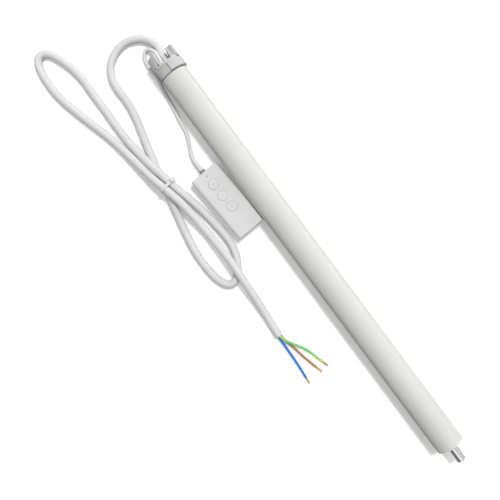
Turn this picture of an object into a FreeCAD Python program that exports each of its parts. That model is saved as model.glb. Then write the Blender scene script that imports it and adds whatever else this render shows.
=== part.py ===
import FreeCAD, Part
import math
import os
import re
import Sketcher

os.makedirs("parts", exist_ok=True)
doc = FreeCAD.newDocument("shade_controller")
Vector = FreeCAD.Vector
Placement = FreeCAD.Placement
Rotation = FreeCAD.Rotation

# Driving sizes, in millimetres and degrees.
# X runs along the tube: zero is the tube's drive end and the head is at minus X.
sizes = {
    # tube
    "tube_length": 396.6,
    "tube_radius": 12.5,
    "tube_wall": 1.0,
    "tube_fit": 0.05,
    # head and crown
    "plug_length": 25.6,
    "cavity_radius": 9.3,
    "face_wall": 3.5,
    "neck_radius": 10.6,
    "end_gap": 1.2,
    "crown_length": 8.1,
    "crown_radius": 12.4,
    "crown_play": 0.15,
    "crown_fit": 0.05,
    "crown_bevel": 0.35,
    "key_radius": 14.4,
    "key_start": -6.0,
    "key_sweep": 96.0,
    "magnet_start": 26.0,
    "magnet_sweep": 34.0,
    "magnet_rise": 0.9,
    "magnet_length": 3.0,
    "clip_thickness": 0.7,
    "clip_radius": 11.7,
    "clip_groove": 0.6,
    "clip_mouth": 60.0,
    "flange_length": 2.0,
    "flange_radius": 12.3,
    "prong_length": 10.6,
    "prong_radius": 12.2,
    "rib_radius": 13.8,
    "slot_left": 4.6,
    "slot_right": 6.4,
    "prong_bevel": 1.1,
    "pocket_width": 3.6,
    "pocket_length": 9.2,
    "pocket_floor": 6.0,
    "dot_radius": 0.7,
    "dot_depth": 3.2,
    # cord entries
    "cord_radius": 3.4,
    "cord_y": 2.3,
    "cord_z": -4.2,
    "lead_radius": 1.6,
    "lead_y": -2.7,
    "lead_z": 0.6,
    "entry_play": 0.08,
    "grommet_wall": 0.6,
    "grommet_lip": 0.2,
    "grommet_lip_length": 1.2,
    "clamp_gap": 1.5,
    "clamp_length": 2.5,
    "clamp_top": 5.0,
    "clamp_post_radius": 1.5,
    "clamp_play": 0.1,
    "clamp_screw_y": 6.6,
    "clamp_screw_z": 2.6,
    "clamp_screw_radius": 0.7,
    "clamp_screw_head": 1.4,
    "clamp_screw_length": 6.0,
    # screws
    "screw_radius": 1.2,
    "screw_head_radius": 2.1,
    "screw_head_height": 0.9,
    "screw_play": 0.1,
    "screw_length": 4.0,
    "mount_screw_inset": 6.0,
    "head_screw_inset": 11.6,
    "cap_screw_inset": 8.0,
    # boards
    "tray_wall": 1.4,
    "tray_end_gap": 2.0,
    "tray_rail": 2.0,
    "board_thickness": 1.6,
    "board_level": -4.0,
    "board_bite": 0.5,
    "board_play": 0.1,
    "board_space": 4.0,
    "power_share": 0.5632,
    "units_gap": 9.0,
    "coil_space": 9.0,
    "part_gap": 0.02,
    "coil_length": 17.0,
    "coil_width": 13.0,
    "coil_height": 11.0,
    "bobbin_length": 9.0,
    "bobbin_overhang": 1.5,
    "can_radius": 4.0,
    "can_length": 16.0,
    "fuse_radius": 2.5,
    "fuse_length": 20.0,
    "block_length": 12.0,
    "block_width": 15.0,
    "block_height": 8.0,
    "core_radius": 1.0,
    "relay_length": 15.0,
    "relay_width": 10.0,
    "relay_height": 10.0,
    # motor
    "mount_length": 26.0,
    "mount_bore": 6.2,
    "mount_rim": 4.0,
    "motor_length": 78.0,
    "motor_radius": 10.3,
    "motor_wall": 0.8,
    "motor_end_wall": 1.5,
    "motor_boss": 3.2,
    "motor_boss_height": 1.6,
    "brush_cover_length": 6.0,
    "shaft_radius": 1.0,
    "running_play": 0.04,
    "stack_radius": 7.4,
    "stack_length": 34.0,
    "winding_radius": 6.4,
    "winding_length": 5.0,
    "commutator_radius": 2.8,
    "commutator_length": 8.0,
    "magnet_thickness": 1.4,
    "magnet_arc": 130.0,
    # gearbox
    "input_plate_length": 4.0,
    "gearbox_length": 30.0,
    "module": 0.3,
    "sun_teeth": 12,
    "planet_teeth": 24,
    "pressure_angle": 20.0,
    "backlash": 0.05,
    "gear_width": 6.0,
    "ring_bore": 9.7,
    "wheel_gap": 0.3,
    "carrier_thickness": 2.6,
    "carrier_radius": 7.9,
    "pin_radius": 1.1,
    "planet_play": 0.04,
    "socket_radius": 6.2,
    "socket_length": 9.0,
    # drive end
    "cap_length": 34.0,
    "cap_bevel": 0.5,
    "drive_radius": 4.5,
    "journal_radius": 5.0,
    "drive_length": 17.0,
    "drive_flat": 3.45,
    "drive_flat_turn": 48.0,
    "drive_tip": 0.8,
    "drive_groove_x": 13.6,
    "drive_groove_width": 1.1,
    "drive_groove_depth": 0.5,
    "bush_wall": 2.2,
    "bush_length": 12.0,
    "bush_flange": 1.2,
    "bush_inset": 0.3,
    "cap_bore": 6.2,
    "shaft_play": 0.04,
    "ring_radius": 7.2,
    "ring_thickness": 1.0,
    "ring_bite": 0.7,
    # control pod, in its own axes
    "pod_length": 64.3,
    "pod_width": 27.6,
    "pod_height": 12.0,
    "pod_x": -282.84,
    "pod_y": -28.1,
    "pod_turn": 3.75,
    "pod_wall": 1.5,
    "pod_corner": 0.8,
    "pod_shoulder": 3.0,
    "pod_edge": 0.9,
    "pod_split": 5.0,
    "lid_thickness": 1.8,
    "lip_height": 1.2,
    "lip_thickness": 0.7,
    "lip_play": 0.1,
    "button_radius": 4.7,
    "button_play": 0.15,
    "button_proud": 0.35,
    "button_flange": 0.6,
    "button_flange_height": 1.0,
    "button_travel": 0.5,
    "button_stem": 1.5,
    "button_dish": 0.25,
    "button_start": 13.55,
    "button_share": 0.1913,
    "led_radius": 0.8,
    "led_foot": 1.5,
    "pod_board_width": 14.0,
    "pod_board_margin": 2.45,
    "pod_board_space": 8.85,
    "pod_board_level": 3.0,
    "switch_width": 6.0,
    "switch_height": 2.6,
    "switch_knob": 1.7,
    "boss_radius": 2.0,
    "boss_inset": 4.65,
    "boss_side": 4.0,
    "pod_screw_radius": 0.9,
    "pod_screw_head": 1.7,
    "pod_screw_sink": 1.0,
    "pod_screw_length": 8.0,
    "pod_gland_radius": 2.6,
    "pod_gland_length": 3.0,
    "pod_gland_neck": 2.2,
    "chip_width": 9.0,
    "chip_height": 1.2,
    # tie and stripped ends
    "tie_width": 2.2,
    "tie_thickness": 0.9,
    "tie_clearance": 0.65,
    "core_insulation": 1.05,
    "copper_radius": 0.75,
    "copper_length": 7.5,
}

sheet = doc.addObject("Spreadsheet::Sheet", "dim")
for row, (word, value) in enumerate(sizes.items(), start=1):
    sheet.set(f"A{row}", word)
    sheet.set(f"B{row}", str(value))
    sheet.setAlias(f"B{row}", word)
doc.recompute()


def cell(text):
    """The expression with each size's name pointing at its cell."""
    return re.sub(r"[a-z]\w*", lambda found: "dim." + found[0] if found[0] in sizes else found[0], text)


def size(text):
    """The value that an expression has now."""
    return float(sheet.evalExpression(cell(text)))


# Stations along the axis, from the head to the drive end
tube_end = "(-tube_length)"
crown_near = f"({tube_end} - end_gap)"
crown_far = f"({crown_near} - crown_length)"
flange_near = f"({crown_far} - crown_play)"
head_face = f"({flange_near} - flange_length)"
prong_tip = f"({head_face} - prong_length)"
plug_end = f"({tube_end} + plug_length)"
clip_near = f"({crown_near} + crown_play + clip_thickness)"
cavity_end = f"({head_face} + face_wall)"
cap_near = "(-cap_length)"
gearbox_near = f"({cap_near} - gearbox_length)"
plate_near = f"({gearbox_near} - input_plate_length)"
motor_near = f"({plate_near} - motor_length)"
cover_near = f"({motor_near} - brush_cover_length)"
mount_near = f"({cover_near} - mount_length)"
tray_near = f"({plug_end} + tray_end_gap)"
power_near = f"({tray_near} + board_space)"
control_far = f"({mount_near} - units_gap)"
power_far = f"({power_near} + ({control_far} - {power_near} - board_space) * power_share)"
control_near = f"({power_far} + board_space)"
mount_screw = f"({mount_near} + mount_screw_inset)"
head_screw = f"({tube_end} + head_screw_inset)"
cap_screw = f"({cap_near} + cap_screw_inset)"
tube_inside = "(tube_radius - tube_wall)"
plug_radius = f"({tube_inside} - tube_fit)"
board_top = "(board_level + board_thickness)"

nodes = []


def new_body(label):
    """A body whose label names its file."""
    body = doc.addObject("PartDesign::Body", label)
    body.Label = label
    nodes.append(body)
    return body


def new_sketch(body, role, level="0", turn=None):
    """A sketch on one of the body's origin planes, raised and turned about X by expressions."""
    sketch = body.newObject("Sketcher::SketchObject", body.Name + "_sketch")
    plane = next(feature for feature in body.Origin.OriginFeatures if feature.Role == role)
    sketch.AttachmentSupport = [(plane, "")]
    sketch.MapMode = "FlatFace"
    if turn is not None:
        axis = Vector(0, 0, 1) if role == "YZ_Plane" else Vector(1, 0, 0)
        sketch.AttachmentOffset = Placement(Vector(), Rotation(axis, 1))
        sketch.setExpression("AttachmentOffset.Rotation.Angle", cell(turn))
    sketch.setExpression("AttachmentOffset.Base.z", cell(level))
    return sketch


def fix_point(sketch, geometry, point, across, up):
    """Hold a point of the sketch at two expressions."""
    for kind, text in (("DistanceX", across), ("DistanceY", up)):
        number = sketch.addConstraint(Sketcher.Constraint(kind, -1, 1, geometry, point, size(text)))
        sketch.setExpression(f"Constraints[{number}]", cell(text))


def draw_outline(sketch, corners):
    """A closed outline through corners given as expressions."""
    first = sketch.GeometryCount
    count = len(corners)
    spots = [Vector(size(across), size(up), 0) for across, up in corners]
    for number, spot in enumerate(spots):
        sketch.addGeometry(Part.LineSegment(spot, spots[(number + 1) % count]))
    for number in range(count):
        after = first + (number + 1) % count
        sketch.addConstraint(Sketcher.Constraint("Coincident", first + number, 2, after, 1))
    for number, (across, up) in enumerate(corners):
        fix_point(sketch, first + number, 1, across, up)


def draw_circle(sketch, across, up, radius):
    """A circle with its centre and radius given as expressions."""
    circle = Part.Circle(Vector(size(across), size(up), 0), Vector(0, 0, 1), size(radius))
    number = sketch.addGeometry(circle)
    fix_point(sketch, number, 3, across, up)
    held = sketch.addConstraint(Sketcher.Constraint("Radius", number, size(radius)))
    sketch.setExpression(f"Constraints[{held}]", cell(radius))


def turned(body, corners, start=None, sweep="360", kind="Revolution"):
    """Revolve or groove a profile of x and radius about the tube's axis."""
    sketch = new_sketch(body, "XY_Plane", turn=start)
    draw_outline(sketch, corners)
    feature = body.newObject("PartDesign::" + kind, body.Name + "_" + kind)
    feature.Profile = sketch
    feature.ReferenceAxis = (sketch, ["H_Axis"])
    feature.setExpression("Angle", cell(sweep))
    return feature


def extruded(body, role, level, length, outlines=(), circles=(), kind="Pad", turn=None):
    """Pad a sketch along its plane's normal, or cut along it with a pocket."""
    sketch = new_sketch(body, role, level, turn)
    for corners in outlines:
        draw_outline(sketch, corners)
    for circle in circles:
        draw_circle(sketch, *circle)
    feature = body.newObject("PartDesign::" + kind, body.Name + "_" + kind)
    feature.Profile = sketch
    feature.setExpression("Length", cell(length))
    feature.Reversed = kind == "Pocket"
    return feature


def cut(body, role, level, length, outlines=(), circles=(), turn=None):
    """A pocket along the plane's normal."""
    return extruded(body, role, level, length, outlines, circles, "Pocket", turn)


def softened(body, kind, amount, choose):
    """Round or bevel the edges of the body that choose picks."""
    doc.recompute()
    base = body.Tip
    names = [f"Edge{n}" for n, edge in enumerate(base.Shape.Edges, start=1) if choose(edge)]
    feature = body.newObject("PartDesign::" + kind, body.Name + "_" + kind)
    feature.Base = (base, names)
    feature.setExpression("Radius" if kind == "Fillet" else "Size", cell(amount))
    return feature


def rectangle(low_across, high_across, low_up, high_up):
    """Four corners from expressions for the two spans."""
    return [(low_across, low_up), (high_across, low_up), (high_across, high_up), (low_across, high_up)]


def spans(edge):
    """The edge's extent along X, Y and Z."""
    box = edge.BoundBox
    return box.XLength, box.YLength, box.ZLength


def group(label, items):
    """Separate solids kept together as one node."""
    node = doc.addObject("Part::Compound", label)
    node.Label = label
    node.Links = items
    nodes.append(node)
    return node


def box(name, low, lengths):
    """A block from expressions for its low corner and its three lengths."""
    block = doc.addObject("Part::Box", name)
    block.Label = name
    for axis, text in zip("xyz", low):
        block.setExpression("Placement.Base." + axis, cell(text))
    for side, text in zip(("Length", "Width", "Height"), lengths):
        block.setExpression(side, cell(text))
    return block


def cylinder(name, start, radius, length, direction=(1, 0, 0)):
    """A round bar from its start point along a direction."""
    bar = doc.addObject("Part::Cylinder", name)
    bar.Label = name
    bar.Placement = Placement(Vector(), Rotation(Vector(0, 0, 1), Vector(*direction)))
    for axis, text in zip("xyz", start):
        bar.setExpression("Placement.Base." + axis, cell(text))
    bar.setExpression("Radius", cell(radius))
    bar.setExpression("Height", cell(length))
    return bar


def joined(label, items):
    """One solid fused from overlapping or touching pieces."""
    fusion = doc.addObject("Part::MultiFuse", label)
    fusion.Label = label
    fusion.Shapes = items
    return fusion


def shaped(label, shape):
    """A node whose shape is computed."""
    node = doc.addObject("Part::Feature", label)
    node.Label = label
    node.Shape = shape
    nodes.append(node)
    return node


# Tube and its screws. The mount's screw is on the minus Y side, the rest are underneath.
under_screws = (head_screw, mount_screw, cap_screw)
screw_hole = "(screw_head_radius + screw_play)"
tube = new_body("outer_tube")
extruded(tube, "YZ_Plane", tube_end, "tube_length",
         circles=[("0", "0", "tube_radius"), ("0", "0", tube_inside)])
cut(tube, "XZ_Plane", f"{tube_inside} - 1", "tube_wall + 2", circles=[(mount_screw, "0", screw_hole)])
cut(tube, "XY_Plane", "-tube_radius - 1", "tube_wall + 2",
    circles=[(x, "0", screw_hole) for x in under_screws])


def tube_screw(name, x, direction):
    """A low-headed screw whose head fills the tube's hole."""
    side = Vector(*direction)
    seat = f"({plug_radius} + 0.01)"
    reach = [x] + [f"{seat} * {int(part)}" for part in (side.y, side.z)]
    inner = [x] + [f"({seat} - screw_length) * {int(part)}" for part in (side.y, side.z)]
    shank = cylinder(name + "_shank", inner, "screw_radius", "screw_length", direction)
    head = cylinder(name + "_head", reach, "screw_head_radius", "screw_head_height", direction)
    return joined(name, [shank, head])


screws = [tube_screw("side_screw", mount_screw, (0, -1, 0))]
screws += [tube_screw(f"under_screw_{n}", x, (0, 0, -1)) for n, x in enumerate(under_screws)]
group("tube_screws", screws)


def screw_socket(body, x, side):
    """The blind hole that a tube screw bites into."""
    depth = "(screw_length + 1)"
    hole = [(x, "0", "screw_radius + screw_play")]
    if side == "left":
        cut(body, "XZ_Plane", f"{tube_inside} - {depth}", depth, circles=hole)
    else:
        cut(body, "XY_Plane", f"-{tube_inside}", depth, circles=hole)


# Head: plug in the tube, neck that carries the crown, flange and two-pronged fork
head = new_body("head_body")
turned(head, [
    (plug_end, "cavity_radius"), (plug_end, plug_radius), (tube_end, plug_radius),
    (tube_end, "neck_radius"), (clip_near, "neck_radius"), (clip_near, "neck_radius - clip_groove"),
    (f"{clip_near} - clip_thickness - crown_play / 2", "neck_radius - clip_groove"),
    (f"{clip_near} - clip_thickness - crown_play / 2", "neck_radius"), (flange_near, "neck_radius"),
    (flange_near, "flange_radius"), (head_face, "flange_radius"), (head_face, "0"),
    (cavity_end, "0"), (cavity_end, "cavity_radius")])
turned(head, [(prong_tip, "0"), (head_face, "0"), (head_face, "prong_radius"), (prong_tip, "prong_radius")])
turned(head, [
    (prong_tip, "prong_radius - 1"), (head_face, "prong_radius - 1"),
    (head_face, "rib_radius"), (prong_tip, "rib_radius")], start="-8", sweep="40")
cut(head, "YZ_Plane", f"{prong_tip} - 1", "prong_length + 1",
    outlines=[rectangle("-slot_left", "slot_right", "-rib_radius - 1", "rib_radius + 1")])
cut(head, "YZ_Plane", f"{prong_tip} - 1", "pocket_length + 1",
    outlines=[rectangle("slot_right - 1", "slot_right + pocket_width", "pocket_floor", "rib_radius + 1")])
for circle in (("cord_y", "cord_z", "cord_radius + entry_play + grommet_wall + entry_play"),
               ("lead_y", "lead_z", "lead_radius + entry_play + grommet_wall + entry_play")):
    cut(head, "YZ_Plane", head_face, "face_wall + 2", circles=[circle])
clamp_level = f"({cavity_end} + grommet_lip_length + clamp_gap)"
clamp_screws_at = ("clamp_screw_y", "-clamp_screw_y")
extruded(head, "YZ_Plane", cavity_end, f"{clamp_level} - {cavity_end}",
         circles=[(y, "clamp_screw_z", "clamp_post_radius") for y in clamp_screws_at])
cut(head, "YZ_Plane", f"{cavity_end} - 1", "clamp_screw_length",
    circles=[(y, "clamp_screw_z", "clamp_screw_radius + clamp_play") for y in clamp_screws_at])
dot_level = f"({prong_tip} + prong_length * 0.9)"
cut(head, "XY_Plane", "prong_radius - 3 - dot_depth", "dot_depth + 5",
    circles=[(dot_level, "-slot_left - 1.9", "dot_radius"), (f"({dot_level} + 1.2)", "-slot_left - 5.2", "dot_radius")])
screw_socket(head, head_screw, "under")


def inner_prong_edge(edge):
    """Top edge of the left prong along the slot."""
    middle = edge.BoundBox.Center
    along = spans(edge)[0] > size("prong_length") * 0.9
    return along and abs(middle.y + size("slot_left")) < 0.01 and middle.z > 0


softened(head, "Chamfer", "prong_bevel", inner_prong_edge)

# Crown ring: turns on the neck, carries the key and the sensing magnet
crown_bore = "(neck_radius + crown_fit)"
crown = new_body("crown_ring")
turned(crown, [
    (crown_far, crown_bore), (crown_near, crown_bore),
    (crown_near, "crown_radius - crown_bevel"), (f"{crown_near} - crown_bevel", "crown_radius"),
    (f"{crown_far} + crown_bevel", "crown_radius"), (crown_far, "crown_radius - crown_bevel")])
turned(crown, [
    (crown_far, "crown_radius - 1"), (crown_near, "crown_radius - 1"),
    (crown_near, "key_radius - crown_bevel"), (f"{crown_near} - crown_bevel", "key_radius"),
    (f"{crown_far} + crown_bevel", "key_radius"), (crown_far, "key_radius - crown_bevel")],
    start="key_start", sweep="key_sweep")
crown_middle = f"(({crown_near} + {crown_far}) / 2)"


def magnet_profile(play):
    """The magnet's section, grown by a play for its groove."""
    low = f"{crown_middle} - magnet_length / 2 - {play}"
    high = f"{crown_middle} + magnet_length / 2 + {play}"
    base = f"{crown_bore} + 0.1 - {play} * 3"
    return [(low, base), (high, base), (high, f"{crown_bore} + magnet_rise + {play}"),
            (low, f"{crown_bore} + magnet_rise + {play}")]


turned(crown, magnet_profile("crown_fit"), start="magnet_start - 1", sweep="magnet_sweep + 2", kind="Groove")
magnet = new_body("crown_magnet")
turned(magnet, magnet_profile("0"), start="magnet_start", sweep="magnet_sweep")

clip = new_body("crown_clip")
turned(clip, [
    (f"{clip_near} - clip_thickness", "neck_radius - clip_groove + crown_fit"),
    (clip_near + " - 0.02", "neck_radius - clip_groove + crown_fit"), (clip_near + " - 0.02", "clip_radius"),
    (f"{clip_near} - clip_thickness", "clip_radius")], start="-90 + clip_mouth / 2", sweep="360 - clip_mouth")


def grommet(label, y, z, radius):
    """A rubber sleeve in the head's face, with a lip on the inside."""
    body = new_body(label)
    bore = f"({radius} + entry_play)"
    extruded(body, "YZ_Plane", head_face, "face_wall",
             circles=[(y, z, f"{bore} + grommet_wall"), (y, z, bore)])
    extruded(body, "YZ_Plane", cavity_end, "grommet_lip_length",
             circles=[(y, z, f"{bore} + grommet_wall + grommet_lip"), (y, z, bore)])


grommet("mains_grommet", "cord_y", "cord_z", "cord_radius")
grommet("lead_grommet", "lead_y", "lead_z", "lead_radius")

# Clamp plate behind the entries: the wires pass through it and it backs the grommets
wire_circle = "(core_radius * 1.2)"
clamp = new_body("cord_clamp")
extruded(clamp, "YZ_Plane", clamp_level, "clamp_length", circles=[("0", "0", "cavity_radius - clamp_play")])
cut(clamp, "YZ_Plane", f"{clamp_level} - 1", "clamp_length + 2",
    outlines=[rectangle("-cavity_radius - 1", "cavity_radius + 1", "clamp_top", "cavity_radius + 1")],
    circles=[("cord_y", "cord_z", f"{wire_circle} + core_radius + clamp_play * 2"),
             ("lead_y", "lead_z", "core_radius + clamp_play * 2")])
cut(clamp, "YZ_Plane", f"{clamp_level} - 1", "clamp_length + 2",
    circles=[(y, "clamp_screw_z", "clamp_screw_radius + clamp_play") for y in clamp_screws_at])


def clamp_screw(name, y):
    """A small screw along the tube into one of the head's posts."""
    start = f"{clamp_level} + clamp_length - clamp_screw_length"
    shank = cylinder(name + "_shank", (start, y, "clamp_screw_z"), "clamp_screw_radius", "clamp_screw_length")
    seat = (f"{clamp_level} + clamp_length", y, "clamp_screw_z")
    cap = cylinder(name + "_head", seat, "clamp_screw_head", "clamp_screw_radius")
    return joined(name, [shank, cap])


group("clamp_screws", [clamp_screw(f"clamp_screw_{n}", y) for n, y in enumerate(clamp_screws_at)])

# Board tray: a shell under the boards, open above, grooved along both sides
tray_far = f"({control_far} + tray_rail)"
tray_bore = f"({plug_radius} - tray_wall)"
tray = new_body("board_tray")
turned(tray, [(tray_near, tray_bore), (tray_far, tray_bore), (tray_far, plug_radius), (tray_near, plug_radius)],
       start="-190", sweep="200")
board_half = f"(sqrt({tray_bore} ^ 2 - board_level ^ 2) + board_bite)"
for near, far in ((power_near, power_far), (control_near, control_far)):
    cut(tray, "YZ_Plane", f"{near} - board_play", f"{far} - {near} + board_play * 2",
        outlines=[rectangle(f"-{board_half} - board_play", f"{board_half} + board_play",
                            "board_level - board_play", f"{board_top} + board_play")])


def board(label, near, far, stretches):
    """A circuit board with its small flat components, each placed by shares of the free stretch that it stands in."""
    pieces = [box(label + "_plate", (near, f"-{board_half}", "board_level"),
                  (f"{far} - {near}", f"{board_half} * 2", "board_thickness"))]
    for free_near, free_far, chips in stretches:
        free = f"({free_far} - {free_near})"
        for start, share, y, wide, high in chips:
            pieces.append(box(f"{label}_chip_{len(pieces) - 1}", (f"{free_near} + {free} * {start}", str(y), board_top),
                              (f"{free} * {share}", str(wide), str(high))))
    nodes.append(joined(label, pieces))


seat_level = f"({board_top} + part_gap)"
block_near = f"({power_near} + 1)"
fuse_near = f"({block_near} + block_length + 1)"
fuse_far = f"({fuse_near} + fuse_length)"
coil_near = f"({fuse_far} + coil_space)"
coil_far = f"({coil_near} + coil_length)"
board("power_board", power_near, power_far,
      [(fuse_far, coil_near, [(0.25098, 0.544427, -8, 4, 2), (0.25098, 0.435541, -2, 3, 1.2)]),
       (coil_far, power_far, [(0.071531, 0.180536, 3, 4.5, 1.8), (0.097322, 0.103163, -7, 5, 2.6),
                              (0.381021, 0.077372, -6, 12, 1), (0.561556, 0.257908, -3.4, 6.8, 2.2)])])
board("control_board", control_near, control_far,
      [(control_near, control_far, [(0.04, 0.065, -7, 14, 2.4), (0.13, 0.09, -4, 8, 1.1),
                                    (0.8, 0.05, -6.5, 3, 1.6), (0.8, 0.05, 3.5, 3, 1.6)])])
coil_core = box("coil_core", (coil_near, "-coil_width / 2", seat_level), ("coil_length", "coil_width", "coil_height"))
bobbin_low = (f"{coil_near} + (coil_length - bobbin_length) / 2", "-coil_width / 2 - bobbin_overhang",
              f"{seat_level} + bobbin_overhang")
bobbin = box("bobbin", bobbin_low,
             ("bobbin_length", "coil_width + bobbin_overhang * 2", "coil_height - bobbin_overhang * 2"))
nodes.append(joined("transformer", [coil_core, bobbin]))
nodes.append(cylinder("filter_capacitor", (f"{fuse_near} + 2", "-can_radius - 0.6", f"{seat_level} + can_radius"),
                      "can_radius", "can_length"))
fuse_axis = ("fuse_radius * 2", f"{seat_level} + fuse_radius")
fuse_parts = [cylinder("fuse_glass", (fuse_near, *fuse_axis), "fuse_radius * 0.86", "fuse_length")]
for number, at in enumerate((fuse_near, f"{fuse_near} + fuse_length * 4 / 5")):
    fuse_parts.append(cylinder(f"fuse_cap_{number}", (at, *fuse_axis), "fuse_radius", "fuse_length / 5"))
nodes.append(joined("fuse", fuse_parts))
control_middle = f"(({control_near} + {control_far}) / 2)"
relay_starts = (f"{control_middle} - relay_length - 0.5", f"{control_middle} + 0.5")
group("board_relays", [box(f"relay_{number}", (x, "-relay_width / 2", seat_level),
                           ("relay_length", "relay_width", "relay_height"))
                       for number, x in enumerate(relay_starts)])

# Terminal block with four entries for the wires
entry_level = f"({seat_level} + block_height * 0.4)"
entries = [f"(block_width * {part})" for part in (0.35, 0.12, -0.12, -0.35)]
block = new_body("terminal_block")
extruded(block, "YZ_Plane", block_near, "block_length",
         outlines=[rectangle("-block_width / 2", "block_width / 2", seat_level, f"{seat_level} + block_height")])
cut(block, "YZ_Plane", f"{block_near} - 1", "5", circles=[(y, entry_level, "core_radius + 0.15") for y in entries])
cut(block, "XY_Plane", f"{seat_level} + block_height - 1.2", "3",
    circles=[(f"{block_near} + block_length / 2", y, "1.3") for y in entries])

# Mount behind the motor, input plate and the motor's own parts
mount_far = f"({cover_near} + mount_rim)"
mount = new_body("rear_mount")
turned(mount, [(mount_near, "mount_bore"), (cover_near, "mount_bore"), (cover_near, "motor_radius + part_gap"),
               (mount_far, "motor_radius + part_gap"), (mount_far, plug_radius), (mount_near, plug_radius)])
screw_socket(mount, mount_screw, "left")
screw_socket(mount, mount_screw, "under")
bearing = "(shaft_radius + running_play)"
cover = new_body("brush_cover")
turned(cover, [(f"{cover_near} + 1.2", "0"), (cover_near, "0"), (cover_near, "motor_radius"),
               (motor_near, "motor_radius"), (motor_near, bearing), (f"{cover_near} + 1.2", bearing)])
brush_low = "(commutator_radius + 0.4)"
for low, high in ((brush_low, f"{brush_low} + 3"), (f"-{brush_low} - 3", f"-{brush_low}")):
    extruded(cover, "YZ_Plane", motor_near, "commutator_length", outlines=[rectangle(low, high, "-2", "2")])
can_bore = "(motor_radius - motor_wall)"
can = new_body("motor_can")
turned(can, [(motor_near, can_bore), (motor_near, "motor_radius"), (plate_near, "motor_radius"),
             (plate_near, "motor_boss"), (f"{plate_near} + motor_boss_height", "motor_boss"),
             (f"{plate_near} + motor_boss_height", bearing), (f"{plate_near} - motor_end_wall", bearing),
             (f"{plate_near} - motor_end_wall", can_bore)])
stack_middle = f"(({motor_near} + {plate_near}) / 2)"
magnet_outer = f"({can_bore} - part_gap)"
group_items = []
for name, start in (("field_magnet_left", "180 - magnet_arc / 2"), ("field_magnet_right", "-magnet_arc / 2")):
    arc = doc.addObject("PartDesign::Body", name)
    turned(arc, [(f"{stack_middle} - stack_length / 2 - 1", f"{magnet_outer} - magnet_thickness"),
                 (f"{stack_middle} + stack_length / 2 + 1", f"{magnet_outer} - magnet_thickness"),
                 (f"{stack_middle} + stack_length / 2 + 1", magnet_outer),
                 (f"{stack_middle} - stack_length / 2 - 1", magnet_outer)], start=start, sweep="magnet_arc")
    group_items.append(arc)
group("motor_magnets", group_items)
pinion_near = f"({gearbox_near} + wheel_gap)"
pinion_far = f"({pinion_near} + gear_width)"
rotor = new_body("motor_rotor")
stack_near = f"({stack_middle} - stack_length / 2)"
stack_far = f"({stack_middle} + stack_length / 2)"
commutator_near = f"({motor_near} + 1)"
turned(rotor, [
    (f"{cover_near} + 1.5", "0"), (f"{cover_near} + 1.5", "shaft_radius"), (commutator_near, "shaft_radius"),
    (commutator_near, "commutator_radius"), (f"{commutator_near} + commutator_length", "commutator_radius"),
    (f"{commutator_near} + commutator_length", "shaft_radius * 1.6"),
    (f"{stack_near} - winding_length", "shaft_radius * 1.6"), (f"{stack_near} - winding_length", "winding_radius"),
    (stack_near, "winding_radius"), (stack_near, "stack_radius"), (stack_far, "stack_radius"),
    (stack_far, "winding_radius"), (f"{stack_far} + winding_length", "winding_radius"),
    (f"{stack_far} + winding_length", "shaft_radius"), (pinion_far, "shaft_radius"), (pinion_far, "0")])
plate = new_body("input_plate")
turned(plate, [(plate_near, "motor_boss + part_gap"), (plate_near, plug_radius), (gearbox_near, plug_radius),
               (gearbox_near, "motor_boss - 0.6"), (f"{plate_near} + motor_boss_height + 0.2", "motor_boss - 0.6"),
               (f"{plate_near} + motor_boss_height + 0.2", "motor_boss + part_gap")])

# Gearing: two planetary stages inside one toothed ring
module = size("module")
pressure = math.radians(size("pressure_angle"))
turn_axis = Vector(1, 0, 0)
sun_count = round(size("sun_teeth"))
planet_count = round(size("planet_teeth"))
ring_count = sun_count + 2 * planet_count
pin_circle = (sun_count + planet_count) * module / 2


def toothed(teeth, rise, fall, play, turn, near, length):
    """A straight-flanked toothed bar along X, a tooth centred at turn degrees from plus Y."""
    pitch = teeth * module / 2
    base = pitch * math.cos(pressure)
    half = math.pi / (2 * teeth) - play / (2 * pitch) + math.tan(pressure) - pressure
    flank = []
    for radius in (pitch - fall * module, pitch + rise * module):
        opening = math.acos(min(1, base / radius))
        flank.append((radius, half - math.tan(opening) + opening))
    corners = []
    for tooth in range(teeth):
        centre = math.radians(turn) + 2 * math.pi * tooth / teeth
        for radius, lean in [(radius, -lean) for radius, lean in flank] + flank[::-1]:
            corners.append(Vector(near, radius * math.cos(centre + lean), radius * math.sin(centre + lean)))
    face = Part.Face(Part.makePolygon(corners + corners[:1]))
    return face.extrude(Vector(length, 0, 0))


def bar(near, far, radius, y=0):
    """A round bar along X."""
    return Part.makeCylinder(radius, far - near, Vector(near, y, 0), turn_axis)


def stage(name, near, base_node):
    """Three planets and the carrier that turns with their pins."""
    near = size(near)
    width = size("gear_width")
    hole = size("pin_radius + planet_play")
    wheel = toothed(planet_count, 0.9, 1.1, size("backlash"), 180 / planet_count, near, width)
    wheel = wheel.cut(bar(near - 1, near + width + 1, hole))
    wheel.translate(Vector(0, pin_circle, 0))
    for number, letter in enumerate("abc"):
        planet = wheel.copy()
        planet.rotate(Vector(), turn_axis, 120 * number)
        shaped(f"{name}_planet_{letter}", planet)
    disc_near = near + width + size("wheel_gap")
    disc_far = disc_near + size("carrier_thickness")
    pieces = []
    for number in range(3):
        pin = bar(near, disc_near, size("pin_radius"), pin_circle)
        pin.rotate(Vector(), turn_axis, 120 * number)
        pieces.append(pin)
    disc = bar(disc_near, disc_far, size("carrier_radius"))
    return disc.fuse(pieces + base_node(disc_far)), disc_far


def second_sun(start):
    """The sun of the second stage, standing on the first carrier."""
    return [toothed(sun_count, 0.9, 1.1, size("backlash"), 0, start, size("wheel_gap + gear_width"))]


def drive_socket(start):
    """The boss that takes the drive shaft's flatted end."""
    return [bar(start, start + size("socket_length"), size("socket_radius"))]


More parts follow.
